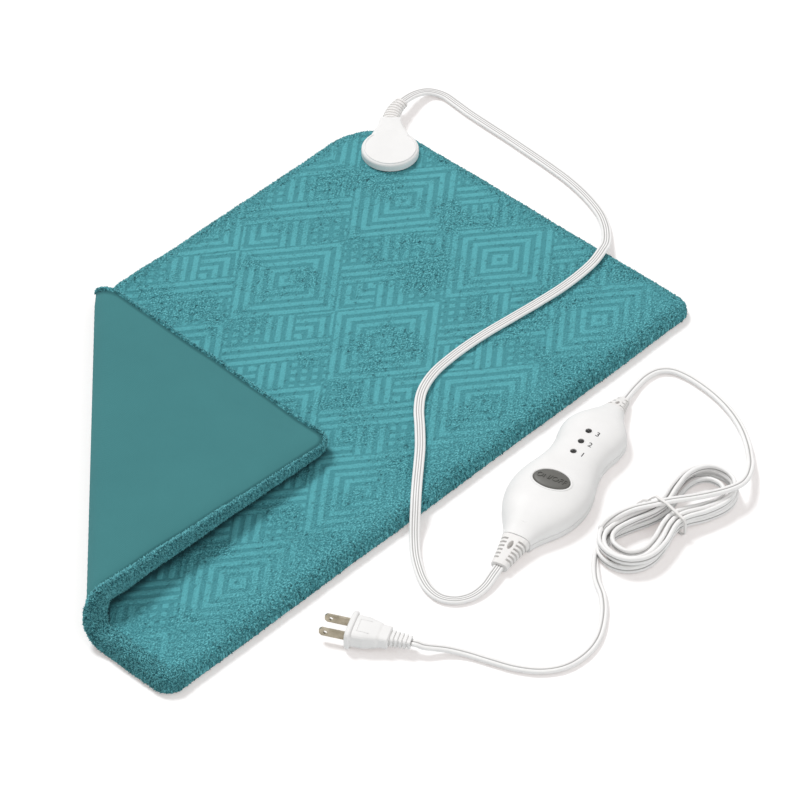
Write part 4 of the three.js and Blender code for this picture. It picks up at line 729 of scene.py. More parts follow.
def plush_underside(x, y, d):
    """Level of the plush under the pad: round the edge and in to its seam, above which the backing lies."""
    seam = seam_depth(x, y)
    curl = np.sqrt(np.clip(1 - (1 - np.minimum(d / np.minimum(seam, 2.6), 1)) ** 2, 0, 1))
    bulge = np.sin(np.clip(d / seam, 0, 1) * math.pi) ** 0.8
    roll = 2.6 * free_share(x, y) * (seam - SEAM_DEPTH) / SEAM_EXTRA * bulge
    return np.where(d > seam + 0.3, 2.2, 1.9 - 1.75 * curl - roll)


def grid_faces(columns, rows, first=0, flip=False):
    index = first + np.arange(columns * rows).reshape(rows, columns)
    corners = (index[:-1, :-1], index[:-1, 1:], index[1:, 1:], index[1:, :-1])
    faces = np.stack(corners[::-1] if flip else corners, axis=-1).reshape(-1, 4)
    return faces.tolist()


def border(columns, rows, first=0):
    """Indices round the edge of a grid, counter-clockwise from its first point."""
    index = first + np.arange(columns * rows).reshape(rows, columns)
    return np.concatenate([index[0, :-1], index[:-1, -1], index[-1, :0:-1], index[:0:-1, 0]]).tolist()


def array_mesh(name, points, faces, flat):
    """A mesh whose texture coordinates are its points' places on the flat pad, in metres."""
    mesh = bpy.data.meshes.new(name)
    mesh.from_pydata(points.tolist(), [], faces)
    layer = mesh.uv_layers.new(name="flat")
    corners = np.empty(len(mesh.loops), dtype=np.int32)
    mesh.loops.foreach_get("vertex_index", corners)
    layer.data.foreach_set("uv", np.ascontiguousarray(flat[corners], dtype=np.float32).ravel())
    mesh.update()
    return mesh


def emboss(x, y, d):
    """Height of the pile over the plain surface: the pattern, lumps in the filling and seam puckers."""
    inner = ramp(d, 5, 12)
    lumps = 0.5 * uneven(x, y, 47, 1) + 0.28 * uneven(x, y, 21, 2) + 0.16 * uneven(x, y, 8, 4)
    pucker = 0.35 * uneven(x, y, 6, 7) * (1 - ramp(d, 9, 22))
    return inner * (0.4 * pattern(x, y) - 0.35 + lumps * 0.9) + pucker * ramp(d, 1, 4)


# Plush cover: a fine grid on top and a coarser one underneath make one closed body. EDGE holds the distances
# of the lines near the pad's edge
EDGE = (0, 0.3, 0.6, 0.95, 1.3, 1.7, 2.1, 2.45, 2.8, 3.2, 3.65, 4.1, 4.6, 5.1, 5.6, 6.2, 6.8, 7.4, 8.2, 9.2,
        10.4, 11.6)
top_x, top_y = (inset_lines(length, EDGE, 1.6) for length in (PAD_LENGTH, PAD_WIDTH))
flat_x, flat_y, depth = (a.ravel() for a in rounded(*np.meshgrid(top_x, top_y)))
top_points = fold(flat_x, flat_y, plush_top(depth, flat_x, flat_y) + emboss(flat_x, flat_y, depth))
low_lines_x, low_lines_y = top_x[::3], top_y[::3]
low_x, low_y, low_depth = (a.ravel() for a in rounded(*np.meshgrid(low_lines_x, low_lines_y)))
low_points = fold(low_x, low_y, plush_underside(low_x, low_y, low_depth))
top_border = border(len(top_x), len(top_y))
low_first = len(top_points)
low_border = border(len(low_lines_x), len(low_lines_y), low_first)
# The coarse grid's edge points are the fine grid's own
same = {low: top_border[3 * i] for i, low in enumerate(low_border)}
faces = grid_faces(len(top_x), len(top_y))
rim_place = {low: i for i, low in enumerate(low_border)}
for face in grid_faces(len(low_lines_x), len(low_lines_y), low_first, flip=True):
    wrapped = []
    for here, after in zip(face, face[1:] + face[:1]):
        wrapped.append(same.get(here, here))
        if here in rim_place and after in rim_place:
            start, end = rim_place[here], rim_place[after]
            if (start - end) % len(low_border) == 1:
                wrapped += [top_border[3 * end + 2], top_border[3 * end + 1]]
            elif (end - start) % len(low_border) == 1:
                wrapped += [top_border[3 * start + 1], top_border[3 * start + 2]]
    faces.append(wrapped)
used = np.ones(low_first + len(low_points), dtype=bool)
used[low_border] = False
renumber = np.cumsum(used) - 1
faces = [[int(renumber[i]) for i in face] for face in faces]
plush_points = np.concatenate([top_points, low_points])[used]
plush_flat = np.concatenate([np.stack([flat_x, flat_y], -1), np.stack([low_x, low_y], -1)])[used] * MM
plush = add_object("pad_plush", array_mesh("pad_plush", plush_points, faces, plush_flat))
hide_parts("pad_plush_cover")


def cloth_slab(name, node, margin, levels, pitch, follow=False):
    """A closed sheet between two levels of the pad, margin in from its edge or up to the plush's seam."""
    size = PAD_LENGTH - 2 * margin, PAD_WIDTH - 2 * margin
    lines_x, lines_y = (inset_lines(length, (0, 0.8, 2, 4, 7, 10), pitch) + margin for length in size)
    sx, sy, d = (a.ravel() for a in rounded(*np.meshgrid(lines_x, lines_y), margin))
    columns, rows = len(lines_x), len(lines_y)
    levels = [np.full_like(sx, level) for level in levels]
    if follow:
        sx = sx + (seam_depth(sx, sy) - SEAM_DEPTH) * (1 - ramp(sx, margin, 24))
        # On the folded corner the backing turns down a little towards its edge
        turn_down = 1.5 * free_share(sx, sy) * (1 - ramp(np.minimum(sx, PAD_WIDTH - sy), 1, 14))
        levels = [level + turn_down for level in levels]
    low, high = (fold(sx, sy, level) for level in levels)
    count = len(high)
    faces = grid_faces(columns, rows) + grid_faces(columns, rows, count, flip=True)
    ring = border(columns, rows)
    for here, after in zip(ring, ring[1:] + ring[:1]):
        faces.append([here, here + count, after + count, after])
    flat = np.stack([sx, sy], -1) * MM
    mesh = array_mesh(name, np.concatenate([high, low]), faces, np.concatenate([flat, flat]))
    # Painted shade along the sheet's edge, darkest at the edge itself
    point_values(mesh, "groove", np.tile(1 - ramp(d - margin, 0, 1.4), 2))
    sheet = add_object(name, mesh)
    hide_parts(node)
    return sheet


backing = cloth_slab("pad_backing", "pad_backing_cover", 2.2, (0.15, 1.6), 4, follow=True)
carrier = cloth_slab("pad_carrier", "heating_element_carrier", 16, (1.9, 3.5), 6)


# Pile: tufts on the rim, short on the lying part and longer and curled round the folded corner
chance = np.random.default_rng(11)


def tufts(name, count, triangles, weights, length, width, curl):
    """Closed three-sided tufts at random places of the plush. length(x, y) and width are in millimetres."""
    corners = plush_points[triangles]
    across = np.cross(corners[:, 1] - corners[:, 0], corners[:, 2] - corners[:, 0])
    area = np.linalg.norm(across, axis=1)
    share = np.cumsum(area * weights)
    chosen = np.minimum(np.searchsorted(share, chance.random(count) * share[-1]), len(area) - 1)
    u, v = chance.random(count), chance.random(count)
    u, v = np.where(u + v > 1, 1 - u, u)[:, None], np.where(u + v > 1, 1 - v, v)[:, None]
    within = lambda values: values[:, 0] * (1 - u - v) + values[:, 1] * u + values[:, 2] * v
    roots, flat = within(corners[chosen]), within(plush_flat[triangles[chosen]])
    normal = across[chosen] / area[chosen][:, None]
    direction = normal + (chance.random((count, 3)) - 0.5) * curl
    direction /= np.linalg.norm(direction, axis=1, keepdims=True)
    # Tufts near the floor point along it
    low = roots[:, 2] < 2 * MM
    direction[low, 2] = np.abs(direction[low, 2]) * 0.4
    helper = np.where(np.abs(direction[:, 2:3]) < 0.9, np.array([[0, 0, 1.0]]), np.array([[1.0, 0, 0]]))
    side = np.cross(direction, helper)
    side /= np.linalg.norm(side, axis=1, keepdims=True)
    other = np.cross(direction, side)
    spin = chance.random(count)[:, None] * 2 * math.pi
    wide = (width * (0.7 + 0.6 * chance.random(count)) * MM)[:, None]
    tall = (length(flat[:, 0] / MM, flat[:, 1] / MM) * (0.6 + 0.8 * chance.random(count)) * MM)[:, None]
    thirds = [spin + 2 * math.pi * k / 3 for k in range(3)]
    rings = [roots + (side * np.cos(a) + other * np.sin(a)) * wide - direction * wide * 0.8 for a in thirds]
    tips = roots + (direction + (chance.random((count, 3)) - 0.5) * curl * 0.5) * tall
    vertices = np.stack([*rings, tips], axis=1).reshape(-1, 3)
    vertices[:, 2] = np.maximum(vertices[:, 2], 0.1 * MM)
    first = (np.arange(count) * 4)[:, None, None]
    faces = (first + np.array([[0, 1, 3], [1, 2, 3], [2, 0, 3], [0, 2, 1]])).reshape(-1, 3)
    mesh = array_mesh(name, vertices, faces.tolist(), np.repeat(flat, 4, axis=0))
    # Painted shade at each tuft's root and painted light at its tip
    point_values(mesh, "tip", np.tile([0.25, 0.25, 0.25, 1.7], count))
    return add_object(name, mesh)


plush_triangles = np.array([(face[0], face[k], face[k + 1])
                            for face in faces for k in range(1, len(face) - 1)])
plush_depth = np.concatenate([depth, -low_depth - 0.001])[used]
plush_x, plush_y = plush_flat[:, 0] / MM, plush_flat[:, 1] / MM
plush_s, plush_t = fold_axes(plush_x, plush_y)


def curled(x, y):
    """1 where the pile is long and curled: round the folded corner and on the left edge beside the fold."""
    s, rest = fold_place(x, y)
    near_side = 1 - ramp(x, 14, 30)
    along_fold = ramp(s, BEND_START - 70, BEND_START - 20) * near_side
    past_fold = ramp(s, BEND_START - 6, BEND_START + 16)
    return np.maximum(along_fold, past_fold) * (0.12 + 0.88 * near_side) * (1 - 0.6 * rest)


plush_curled = curled(plush_x, plush_y)
on_rim = np.where(plush_depth >= 0, 1 - ramp(plush_depth, 6, 12 + 4 * plush_curled), 0)
under = (plush_depth < 0) & (-plush_depth < seam_depth(plush_x, plush_y) + 0.5)
on_rim = np.where(under & (plush_s > BEND_START + 4), 1.0, on_rim)
weights = (on_rim * (0.26 + 0.74 * plush_curled))[plush_triangles].mean(axis=1)
pile = tufts("pad_pile", 38000, plush_triangles, weights,
             length=lambda x, y: 0.6 + 0.55 * curled(x, y), width=0.82, curl=2.0)
# Painted shade on the plush under the rim's dense curled tufts
lit = 1 - 0.5 * on_rim * plush_curled
# The pile in the gap under the folded corner is in shadow: mirror is the cloth that lies over a point
mirror = 2 * BEND_START + math.pi * BEND_RADIUS - plush_s
cover_x, cover_y = from_axes(mirror, plush_t)
covered = np.minimum(cover_x, PAD_WIDTH - cover_y)
lit = np.where(plush_s < BEND_START, lit * (1 - 0.95 * ramp(covered, -1.5, 5.5)), lit)
# Painted shadow also on the folded corner's own pile, where it faces down into the gap
lit = np.where((plush_s > BEND_START) & (plush_depth > 0), lit * (1 - 0.95 * ramp(plush_depth, 7, 13)), lit)
point_values(plush.data, "tip", lit)


# Solid helpers
def turned_mesh(mesh, matrix):
    mesh.transform(matrix)
    mesh.update()
    return mesh


def evaluated(piece):
    """A new mesh of the piece with its modifiers applied, or its letters made solid."""
    graph = bpy.context.evaluated_depsgraph_get()
    graph.update()
    return bpy.data.meshes.new_from_object(piece.evaluated_get(graph))


def combine(piece, shape, operation):
    """Applies a boolean between a piece and another mesh, and removes that mesh."""
    other = loose(shape.name, shape)
    modifier = piece.modifiers.new("cut", "BOOLEAN")
    modifier.object, modifier.operation, modifier.solver = other, operation, "EXACT"
    result, old = evaluated(piece), piece.data
    piece.modifiers.clear()
    piece.data, name = result, old.name
    bpy.data.meshes.remove(old)
    result.name = name
    bpy.data.objects.remove(other)
    bpy.data.meshes.remove(shape)


def prism(piece, operation, outline, levels):
    """Adds or cuts an upright prism between two levels."""
    rings = [[Vector((x, y, z)) for x, y in outline] for z in levels]
    combine(piece, skin("prism", rings), operation)


def post(piece, operation, x, low, high, along, across, steps, y=0):
    """Adds or cuts an upright oval post."""
    prism(piece, operation, oval(x, y, along / 2, across / 2, around(steps)), (low, high))


def bead(piece, x, across_x, across_y, radius, sunk, steps):
    """Adds a ring of round section round an oval opening, sunk a little into the top shell's outer face."""
    rings = []
    for angle, (px, py) in zip(around(steps), oval(x, 0, across_x / 2, across_y / 2, around(steps))):
        out = Vector((math.cos(angle) / across_x, math.sin(angle) / across_y, 0)).normalized()
        centre = Vector((px, py, shell_height(px, py) - sunk))
        rings.append([centre + out * radius * math.cos(a) + Vector((0, 0, radius * math.sin(a)))
                      for a in around(12)])
    rings.append(rings[0])
    combine(piece, clean(skin("rim", rings, closed_ends=False), 1e-5), "UNION")


def laid_line(name, target, path, radius):
    """A round bead that follows a path of points over a piece's upper face, half sunk in it."""
    tree = BVHTree.FromObject(target, bpy.context.evaluated_depsgraph_get())
    back = target.matrix_world.inverted()
    line = []
    for point in path:
        start = back @ Vector((point.x, point.y, point.z + 0.05))
        hit = tree.ray_cast(start, (back.to_3x3() @ Vector((0, 0, -1))).normalized())
        if hit[0] is not None:
            line.append(target.matrix_world @ hit[0])
    return tube(name, line, oval(0, 0, radius, radius, around(8)))


# Controller body: the CAD stations with a smooth curve through them. Each holds a place along the controller,
# the half width and the height there, as shares of the full ones
HALF_CONTROLLER, CONTROLLER_HEIGHT, SPLIT, SHELL_WALL = 28, 21, 6, 1.8
# Half the gap between the shells, the smooth shading's limit and the distance at which points are joined
SEAM, SHARP, JOINED = 0.15, 32, 1e-4
STATIONS = (
    (-0.5, 0.37, 0.62), (-0.465, 0.43, 0.66), (-0.41, 0.59, 0.77), (-0.36, 0.75, 0.86), (-0.31, 0.87, 0.93),
    (-0.25, 0.96, 0.98), (-0.19, 1, 1), (-0.13, 0.99, 1), (-0.06, 0.92, 0.985), (0.01, 0.81, 0.96),
    (0.07, 0.735, 0.94), (0.12, 0.715, 0.93), (0.17, 0.735, 0.93), (0.22, 0.79, 0.935), (0.27, 0.82, 0.93),
    (0.32, 0.8, 0.91), (0.36, 0.72, 0.88), (0.4, 0.59, 0.82), (0.44, 0.44, 0.74), (0.475, 0.33, 0.66),
    (0.5, 0.285, 0.6))
knot = np.array([s[0] for s in STATIONS])
slopes = [np.gradient(np.array([s[k] for s in STATIONS]), knot) for k in (1, 2)]


def station(x):
    """Half width and height of the controller at a place along it, in millimetres."""
    share = min(max(x / CONTROLLER_LENGTH, -0.5), 0.5)
    i = int(np.clip(np.searchsorted(knot, share) - 1, 0, len(knot) - 2))
    span = knot[i + 1] - knot[i]
    t = (share - knot[i]) / span
    values = []
    for k in (0, 1):
        a, b = STATIONS[i][k + 1], STATIONS[i + 1][k + 1]
        m, n = slopes[k][i] * span, slopes[k][i + 1] * span
        values.append((2 * t ** 3 - 3 * t ** 2 + 1) * a + (t ** 3 - 2 * t ** 2 + t) * m
                      + (3 * t ** 2 - 2 * t ** 3) * b + (t ** 3 - t ** 2) * n)
    return values[0] * HALF_CONTROLLER, values[1] * CONTROLLER_HEIGHT


def shell_height(x, y):
    """Height of the top shell's outer face over a point."""
    width, height = station(x)
    cosine = min(abs(y) / width, 1) ** (1 / 0.82)
    return SPLIT + SEAM + (height - SPLIT - SEAM) * (1 - cosine ** 2) ** 0.4


def arch(x, width, base, height, angle):
    y = width * math.copysign(abs(math.cos(angle)) ** 0.82, math.cos(angle))
    return Vector((x, y, base + (height - base) * abs(math.sin(angle)) ** 0.8))


def shell(name, rings):
    """A shell whose ends are bands between the outer and the inner half of each ring."""
    count = len(rings[0])
    last = (len(rings) - 1) * count
    bands = []
    for j in range(count // 2 - 1):
        bands += [(j, count - 1 - j, count - 2 - j, j + 1),
                  (last + j + 1, last + count - 2 - j, last + count - 1 - j, last + j)]
    return loose(name, clean(skin(name, rings, closed_ends=False, more_faces=bands), JOINED))


def seat(piece, node, sharp=None, body=MAIN):
    """Puts a controller piece in a node's place. sharp is the angle over which smooth shading breaks."""
    turned_mesh(piece.data, CONTROLLER)
    if sharp:
        smoothed(piece.data)
        piece.data.set_sharp_from_angle(angle=math.radians(sharp))
    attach(piece, body)
    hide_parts(node)


# Both shells have a soft edge at the seam, drawn in by SOFT
SOFT = 0.25
lengthwise = [CONTROLLER_LENGTH * (-0.5 + k / 120) for k in range(121)]
rings = []
for x in lengthwise:
    width, height = station(x)
    arc = angles(math.pi, 56)
    outer = [arch(x, width, SPLIT + SEAM, height, a) for a in arc]
    outer[0] += Vector((0, -SOFT, 0))
    outer[-1] += Vector((0, SOFT, 0))
    inner = [arch(x, width - SHELL_WALL, SPLIT + SEAM, height - SHELL_WALL, a) for a in reversed(arc)]
    rings.append(outer + inner)
top_shell = shell("controller_top", rings)
BOSS_X, BOSS_WIDTH, SCREW_HOLE, SCREW_HEAD = CONTROLLER_LENGTH * 0.4, 7.5, 3.6, 6.0
BUTTON_X, BUTTON_ALONG, BUTTON_ACROSS = -0.148 * CONTROLLER_LENGTH, 17, 26
LED_MIDDLE, LED_STEP, LED_DIAMETER = 0.155 * CONTROLLER_LENGTH, 0.079 * CONTROLLER_LENGTH, 3.8
led_places = [LED_MIDDLE + step * LED_STEP for step in (1, 0, -1)]
# Levels that holes are cut between: the board's top and well above the shell
BOARD_TOP, ABOVE = 8.8, 42
bead(top_shell, BUTTON_X, BUTTON_ALONG + 2.2, BUTTON_ACROSS + 2.2, 1.0, 0.55, 96)
for x in led_places:
    bead(top_shell, x, LED_DIAMETER + 1.3, LED_DIAMETER + 1.3, 0.5, 0.28, 40)
for x in (-BOSS_X, BOSS_X):
    post(top_shell, "UNION", x, SPLIT + SEAM, station(x)[1] - 0.9, BOSS_WIDTH, BOSS_WIDTH, 32)
    post(top_shell, "DIFFERENCE", x, 0, 12.1, SCREW_HOLE, SCREW_HOLE, 24)
post(top_shell, "DIFFERENCE", BUTTON_X, BOARD_TOP, ABOVE, BUTTON_ALONG + 0.6, BUTTON_ACROSS + 0.6, 96)
# The small offsets and the odd number of sides keep the holes' edges off those of the beads
led_hole = LED_DIAMETER + 0.62
for x in led_places:
    post(top_shell, "DIFFERENCE", x + 0.013, BOARD_TOP, ABOVE, led_hole, led_hole, 37, y=0.017)
seat(top_shell, "controller_top_shell", SHARP)


def wall_profile(half, top, drawn_in, radius, level):
    """Half outline of the lower shell's outer or inner face: down its side and round into its floor."""
    return [(half - drawn_in, top), (half, top - 0.4),
            *oval(half - radius, level + radius, radius, -radius, angles(math.pi / 2, 8))]


rings = []
for x in lengthwise:
    width, _ = station(x)
    side = wall_profile(width, SPLIT - SEAM, SOFT, 3, 0)
    within = wall_profile(width - SHELL_WALL, SPLIT - SEAM, 0, 1.6, 2)
    outline = side + [(-y, z) for y, z in reversed(side)] + [(-y, z) for y, z in within] + within[::-1]
    rings.append([Vector((x, y, z)) for y, z in outline])
bottom_shell = shell("controller_bottom", rings)
for x in (-BOSS_X, BOSS_X):
    post(bottom_shell, "UNION", x, 1, SPLIT - SEAM, BOSS_WIDTH, BOSS_WIDTH, 32)
    post(bottom_shell, "DIFFERENCE", x, -1, 2.4, SCREW_HEAD, SCREW_HEAD, 32)
    post(bottom_shell, "DIFFERENCE", x, 0, 30, SCREW_HOLE, SCREW_HOLE, 24)
seat(bottom_shell, "controller_bottom_shell", SHARP)

# Strain reliefs: the CAD ones, with their slots carried on over the top to beside the eye, on the short relief
# only every second slot. A row holds the node, its end of the controller, its length, its slots, which of them
# are carried on, the width of its tip and the level of the slots' floor
SLOT_TOP = 30
reliefs = []
for name, end, length, slots, every, tip_width, slot_floor in (
        ("controller_lower_strain_relief", -1, LOWER_RELIEF, 6, 1, 11.5, 6.2),
        ("controller_upper_strain_relief", 1, UPPER_RELIEF, 5, 2, 8.4, 4.6)):
    relief = loose(name.replace("_strain", ""), nodes[name].data.copy())
    relief.data.transform(CONTROLLER.inverted() @ nodes[name].matrix_world)
    base_width = 2 * station(end * CONTROLLER_LENGTH / 2)[0] * 0.97
    collar = length * 0.14
    pitch = (length - 1.6 * collar) / slots
    for i in range(0, slots, every):
        start = collar + i * pitch
        wide = base_width + (tip_width - base_width) * start / length
        from_middle = CONTROLLER_LENGTH / 2 + start + GAP
        near, far = sorted(end * (from_middle + reach) for reach in (0.02, pitch * 0.5 - 0.02))
        for side in (-1, 1):
            low, high = sorted((side * wide * 0.19, side * wide))
            corners = [(near, low), (far, low), (far, high), (near, high)]
            prism(relief, "DIFFERENCE", corners, (slot_floor, SLOT_TOP))
    seat(relief, name)
    reliefs.append(relief)

# Power button: an oval cap with a flange under the shell, and its word standing a little proud
BUTTON_TOP, FLANGE_LEVEL, FLANGE_DEPTH = CONTROLLER_HEIGHT + 1, CONTROLLER_HEIGHT - 5, 1.2


def button_height(x, y):
    share = min(math.hypot((x - BUTTON_X) / (BUTTON_ALONG / 2), y / (BUTTON_ACROSS / 2)), 1)
    return BUTTON_TOP - 0.9 * share ** 2.4 - 0.5 * share ** 12


# Its profile: shares of its half sizes, or None for the round stem, and levels, or None on the curved top
STEM_RADIUS, FLANGE_SHARE = 2.3, 1.0 + 2 * FLANGE_DEPTH / BUTTON_ALONG
profile = [(None, FLANGE_LEVEL - 1.1), (None, FLANGE_LEVEL), (FLANGE_SHARE, FLANGE_LEVEL),
           (FLANGE_SHARE, FLANGE_LEVEL + FLANGE_DEPTH), (1.0, FLANGE_LEVEL + FLANGE_DEPTH),
           (1.0, BUTTON_TOP - 1.9), (0.995, BUTTON_TOP - 1.6), (0.98, BUTTON_TOP - 1.42)]
profile += [(share, None) for share in (0.96, 0.93, 0.89, 0.84, 0.78, 0.7, 0.6, 0.5, 0.4, 0.3, 0.2, 0.1)]
rings = []
for share, z in profile:
    halves = (share * BUTTON_ALONG / 2, share * BUTTON_ACROSS / 2) if share else (STEM_RADIUS, STEM_RADIUS)
    outline = oval(BUTTON_X, 0, *halves, around(96))
    rings.append([Vector((x, y, z or button_height(x, y))) for x, y in outline])
button = loose("button_cap", clean(skin("button_cap", rings), JOINED))


def lettering(name, word, size, x, y, height, depth, bold=0.0):
    """Letters across a curved face. height(x, y) gives the face's level, depth the rise of the letters."""
    curve = bpy.data.curves.new(name, "FONT")
    curve.body, curve.size, curve.extrude = word, size, 0.5
    curve.align_x, curve.align_y = "CENTER", "CENTER"
    curve.resolution_u, curve.offset = 3, bold
    written = loose(name, curve)
    mesh = evaluated(written)
    bpy.data.objects.remove(written)
    bpy.data.curves.remove(curve)
    spans = [[v.co[i] for v in mesh.vertices] for i in (0, 1)]
    middle, level = ((max(span) + min(span)) / 2 for span in spans)
    turn = math.radians(-90)
    for vertex in mesh.vertices:
        u, v, raised = vertex.co.x - middle, vertex.co.y - level, vertex.co.z > 0
        px = x + u * math.cos(turn) - v * math.sin(turn)
        py = y + u * math.sin(turn) + v * math.cos(turn)
        vertex.co = (px, py, height(px, py) + (depth if raised else -0.25))
    return clean(mesh, JOINED)


word = lettering("button_word", "ON/OFF", 6.0, BUTTON_X, 0, button_height, 0.55)
joined = bmesh.new()
joined.from_mesh(button.data)
joined.from_mesh(word)
joined.to_mesh(button.data)
joined.free()
bpy.data.meshes.remove(word)
seat(button, "power_button", sharp=40, body="power_button")

# Numbers beside the lamps
marks = []
for number, x in zip("321", led_places):
    name = "lamp_number_" + number
    mark = lettering(name, number, 5.8, x, -6.8, shell_height, 0.05, bold=0.045)
    marks.append(add_object(name, turned_mesh(mark, CONTROLLER), smooth=False))


# Finishes
def plush_cloth(name):
    """Short pile: light and dark yarns, a fine mottle, crushed patches, partings painted dark as shade,
    painted light and shade from a stored value and a soft sheen.
    """
    shader = Shader(name)
    flat = shader.flat()
    split = shader.node("SeparateXYZ", {"Vector": flat})
    x, y = (Field(shader.tree, split.outputs[i]) * 1000 for i in (0, 1))
    fray_x, fray_y = ((shader.noise(scale, 2, 0.6, of=flat) - 0.5) * 1.5 for scale in (520, 560))
    lines = pattern(x + fray_x, y + fray_y)
    # The pattern fades towards every edge, and farther in from the two near ones
    from_edge = smaller(smaller(x, y), smaller(x * -1 + PAD_LENGTH, y * -1 + PAD_WIDTH))
    near = smaller(x, y)
    lines = lines * shader.range(from_edge, 5, 17, 0.15, 1, smooth=True)
    lines = lines * shader.range(near, 8, 42, 0.35, 1, smooth=True)
    yarn = shader.mix(lines, srgb(73, 144, 152), srgb(90, 169, 177))
    crushed = shader.noise(21, 4, 0.6, of=flat)
    worn = shader.range(crushed, 0.43, 0.68, 0.0, 1.0, smooth=True)
    yarn = shader.mix(worn * 0.62, yarn, srgb(62, 132, 140))
    rough = larger(shader.range(from_edge, 4, 18, 0.8, 0.0), shader.range(near, 10, 48, 0.9, 0.0))
    rough = larger(worn, rough)
    slant = {"Vector": flat, "Rotation": (0, 0, 0.8), "Scale": (1, 1.7, 1)}
    slanted = shader.node("Mapping", slant).outputs[0]
    mottle = shader.noise(600, 3, 0.75, of=slanted)
    # Dark and light flecks, most of them where the pile is rough
    for low, high, least, fleck in (
            (0.49, 0.58, 0.16, srgb(34, 92, 100)), (0.48, 0.38, 0.1, srgb(128, 212, 219))):
        yarn = shader.mix(shader.range(mottle, low, high, 0.0, 1.0) * (rough * 0.66 + least), yarn, fleck)
    # Partings in the pile: short slanting strokes, most of them in the crushed patches. They dip in the bump
    # and are painted dark as shade
    strokes = shader.noise(210, 4, 0.7, of=slanted)
    shaded_parting = shader.range(strokes, 0.58, 0.64, 0.0, 1.0) * (worn * 0.7 + 0.4)
    # Painted shade in the partings
    yarn = shader.mix(shaded_parting * 0.85, yarn, srgb(24, 74, 82))
    # Painted light and shade from the stored tip value: 0 gets painted deep shade, 1 is the plain plush, and
    # more is a tuft's tip with a painted highlight
    tip = shader.stored("tip")
    yarn = shader.tint(yarn, srgb(20, 62, 70), tip, 0.0, 1.0, 0.0, start=0.9)
    # Painted highlight on the tufts' tips
    yarn = shader.tint(yarn, srgb(132, 216, 223), tip, 1.0, 1.5, 0.7)
    nap = shader.bump(mottle, 0.0005, 0.5)
    raised = shader.bump(lines - shaded_parting * 1.5, 0.0006, 0.5, over=nap)
    shader.set(base_color=yarn, roughness=0.92, normal=raised, specular_ior_level=0.15, sheen_weight=0.22,
               sheen_roughness=0.5, sheen_tint=srgb(150, 214, 220))
    return shader.material


def smooth_cloth(name, light, dark):
    """Brushed knit: fine wales one way, courses the other, a slight unevenness of tone and painted shade along
    its edge.
    """
    shader = Shader(name)
    flat = shader.flat()
    tone = shader.noise(18, 4, 0.6, of=flat)
    fuzz = shader.noise(1500, 3, 0.7, of=flat)
    colour = shader.tint(light, dark, tone, 0.35, 0.65)
    colour = shader.tint(colour, srgb(40, 92, 98), fuzz, 0.3, 0.7, 0.16)
    # Painted shade along the sheet's edge, as the stored groove value says
    colour = shader.tint(colour, srgb(28, 70, 76), shader.stored("groove"), 0.0, 1.0, 0.5)
    wales, courses = (Field(shader.tree, shader.node(
        "TexWave", {"Vector": flat, "Scale": scale, "Distortion": distortion, "Detail": 2, "Detail Scale": 4},
        wave_type="BANDS", bands_direction=direction).outputs["Fac"])
        for scale, distortion, direction in ((320, 1.5, "X"), (260, 2, "Y")))
    height = wales + courses * 0.6 + fuzz
    shader.set(base_color=colour, roughness=0.95, normal=shader.bump(height, 0.0001, 0.35),
               specular_ior_level=0.15, sheen_weight=0.12, sheen_roughness=0.5,
               sheen_tint=srgb(140, 200, 205))
    return shader.material


def wear(material, *pieces):
    """Gives a material to pieces, or to the CAD nodes of the given names."""
    for piece in pieces:
        piece = nodes[piece] if isinstance(piece, str) else piece
        if piece.data.materials:
            for slot in piece.material_slots:
                slot.material = material
        else:
            piece.data.materials.append(material)


wear(plush_cloth("plush"), plush, pile)
wear(smooth_cloth("backing_cloth", srgb(70, 131, 134), srgb(68, 128, 131)), backing)
wear(smooth_cloth("carrier_felt", srgb(226, 224, 216), srgb(206, 204, 196)), carrier)
# The cords' grooves between cores are painted grey as shade
wear(moulded("cord_vinyl", srgb(247, 246, 245), srgb(242, 241, 240), (0.42, 0.55), grain=0.00002,
             groove=srgb(128, 126, 125)), pad_cord, mains_cord)
housing = moulded("housing", srgb(240, 239, 238), srgb(236, 235, 234), (0.44, 0.56), shine=0.3)
wear(housing, top_shell, bottom_shell, "connector_top_shell", "connector_bottom_shell", "plug_body")
wear(moulded("relief_vinyl", srgb(240, 238, 236), srgb(234, 232, 230), (0.5, 0.62), shine=0.25),
     *reliefs, "connector_strain_relief", "hank_tie")
wear(moulded("button_grey", srgb(104, 103, 99), srgb(98, 97, 93), (0.42, 0.55)), button)
wear(moulded("printed_ink", srgb(52, 52, 54), srgb(60, 60, 62), (0.4, 0.5), grain=0.00001), *marks)
wear(moulded("lamp_lens", srgb(50, 50, 48), srgb(40, 40, 40), (0.12, 0.2), grain=0.000005, coat=0.4),
     "led_high", "led_medium", "led_low")
wear(moulded("terminal_nylon", srgb(214, 206, 184), srgb(202, 194, 172), (0.4, 0.5)),
     "pad_terminal_block", "pad_cord_terminal", "mains_terminal")
wear(moulded("black_resin", srgb(34, 34, 36), srgb(44, 44, 46), (0.45, 0.6), grain=0.00005),
     "power_triac", "control_chip", "push_switch_body")
wear(moulded("capacitor_sleeve", srgb(30, 44, 92), srgb(38, 52, 104), (0.2, 0.32), coat=0.3),
     "smoothing_capacitor")
wear(moulded("fuse_ceramic", srgb(224, 214, 190), srgb(210, 198, 172), (0.35, 0.5), grain=0.00004), "fuse")
wear(moulded("plunger_red", srgb(150, 44, 38), srgb(138, 38, 34), (0.35, 0.5)), "push_switch_plunger")
wear(moulded("wire_silicone", srgb(196, 92, 70), srgb(180, 80, 62), (0.4, 0.55)), "heating_wire")
wear(metal("blade_brass", srgb(182, 174, 156), srgb(150, 142, 124), (0.28, 0.45)),
     "plug_blade_1", "plug_blade_2")
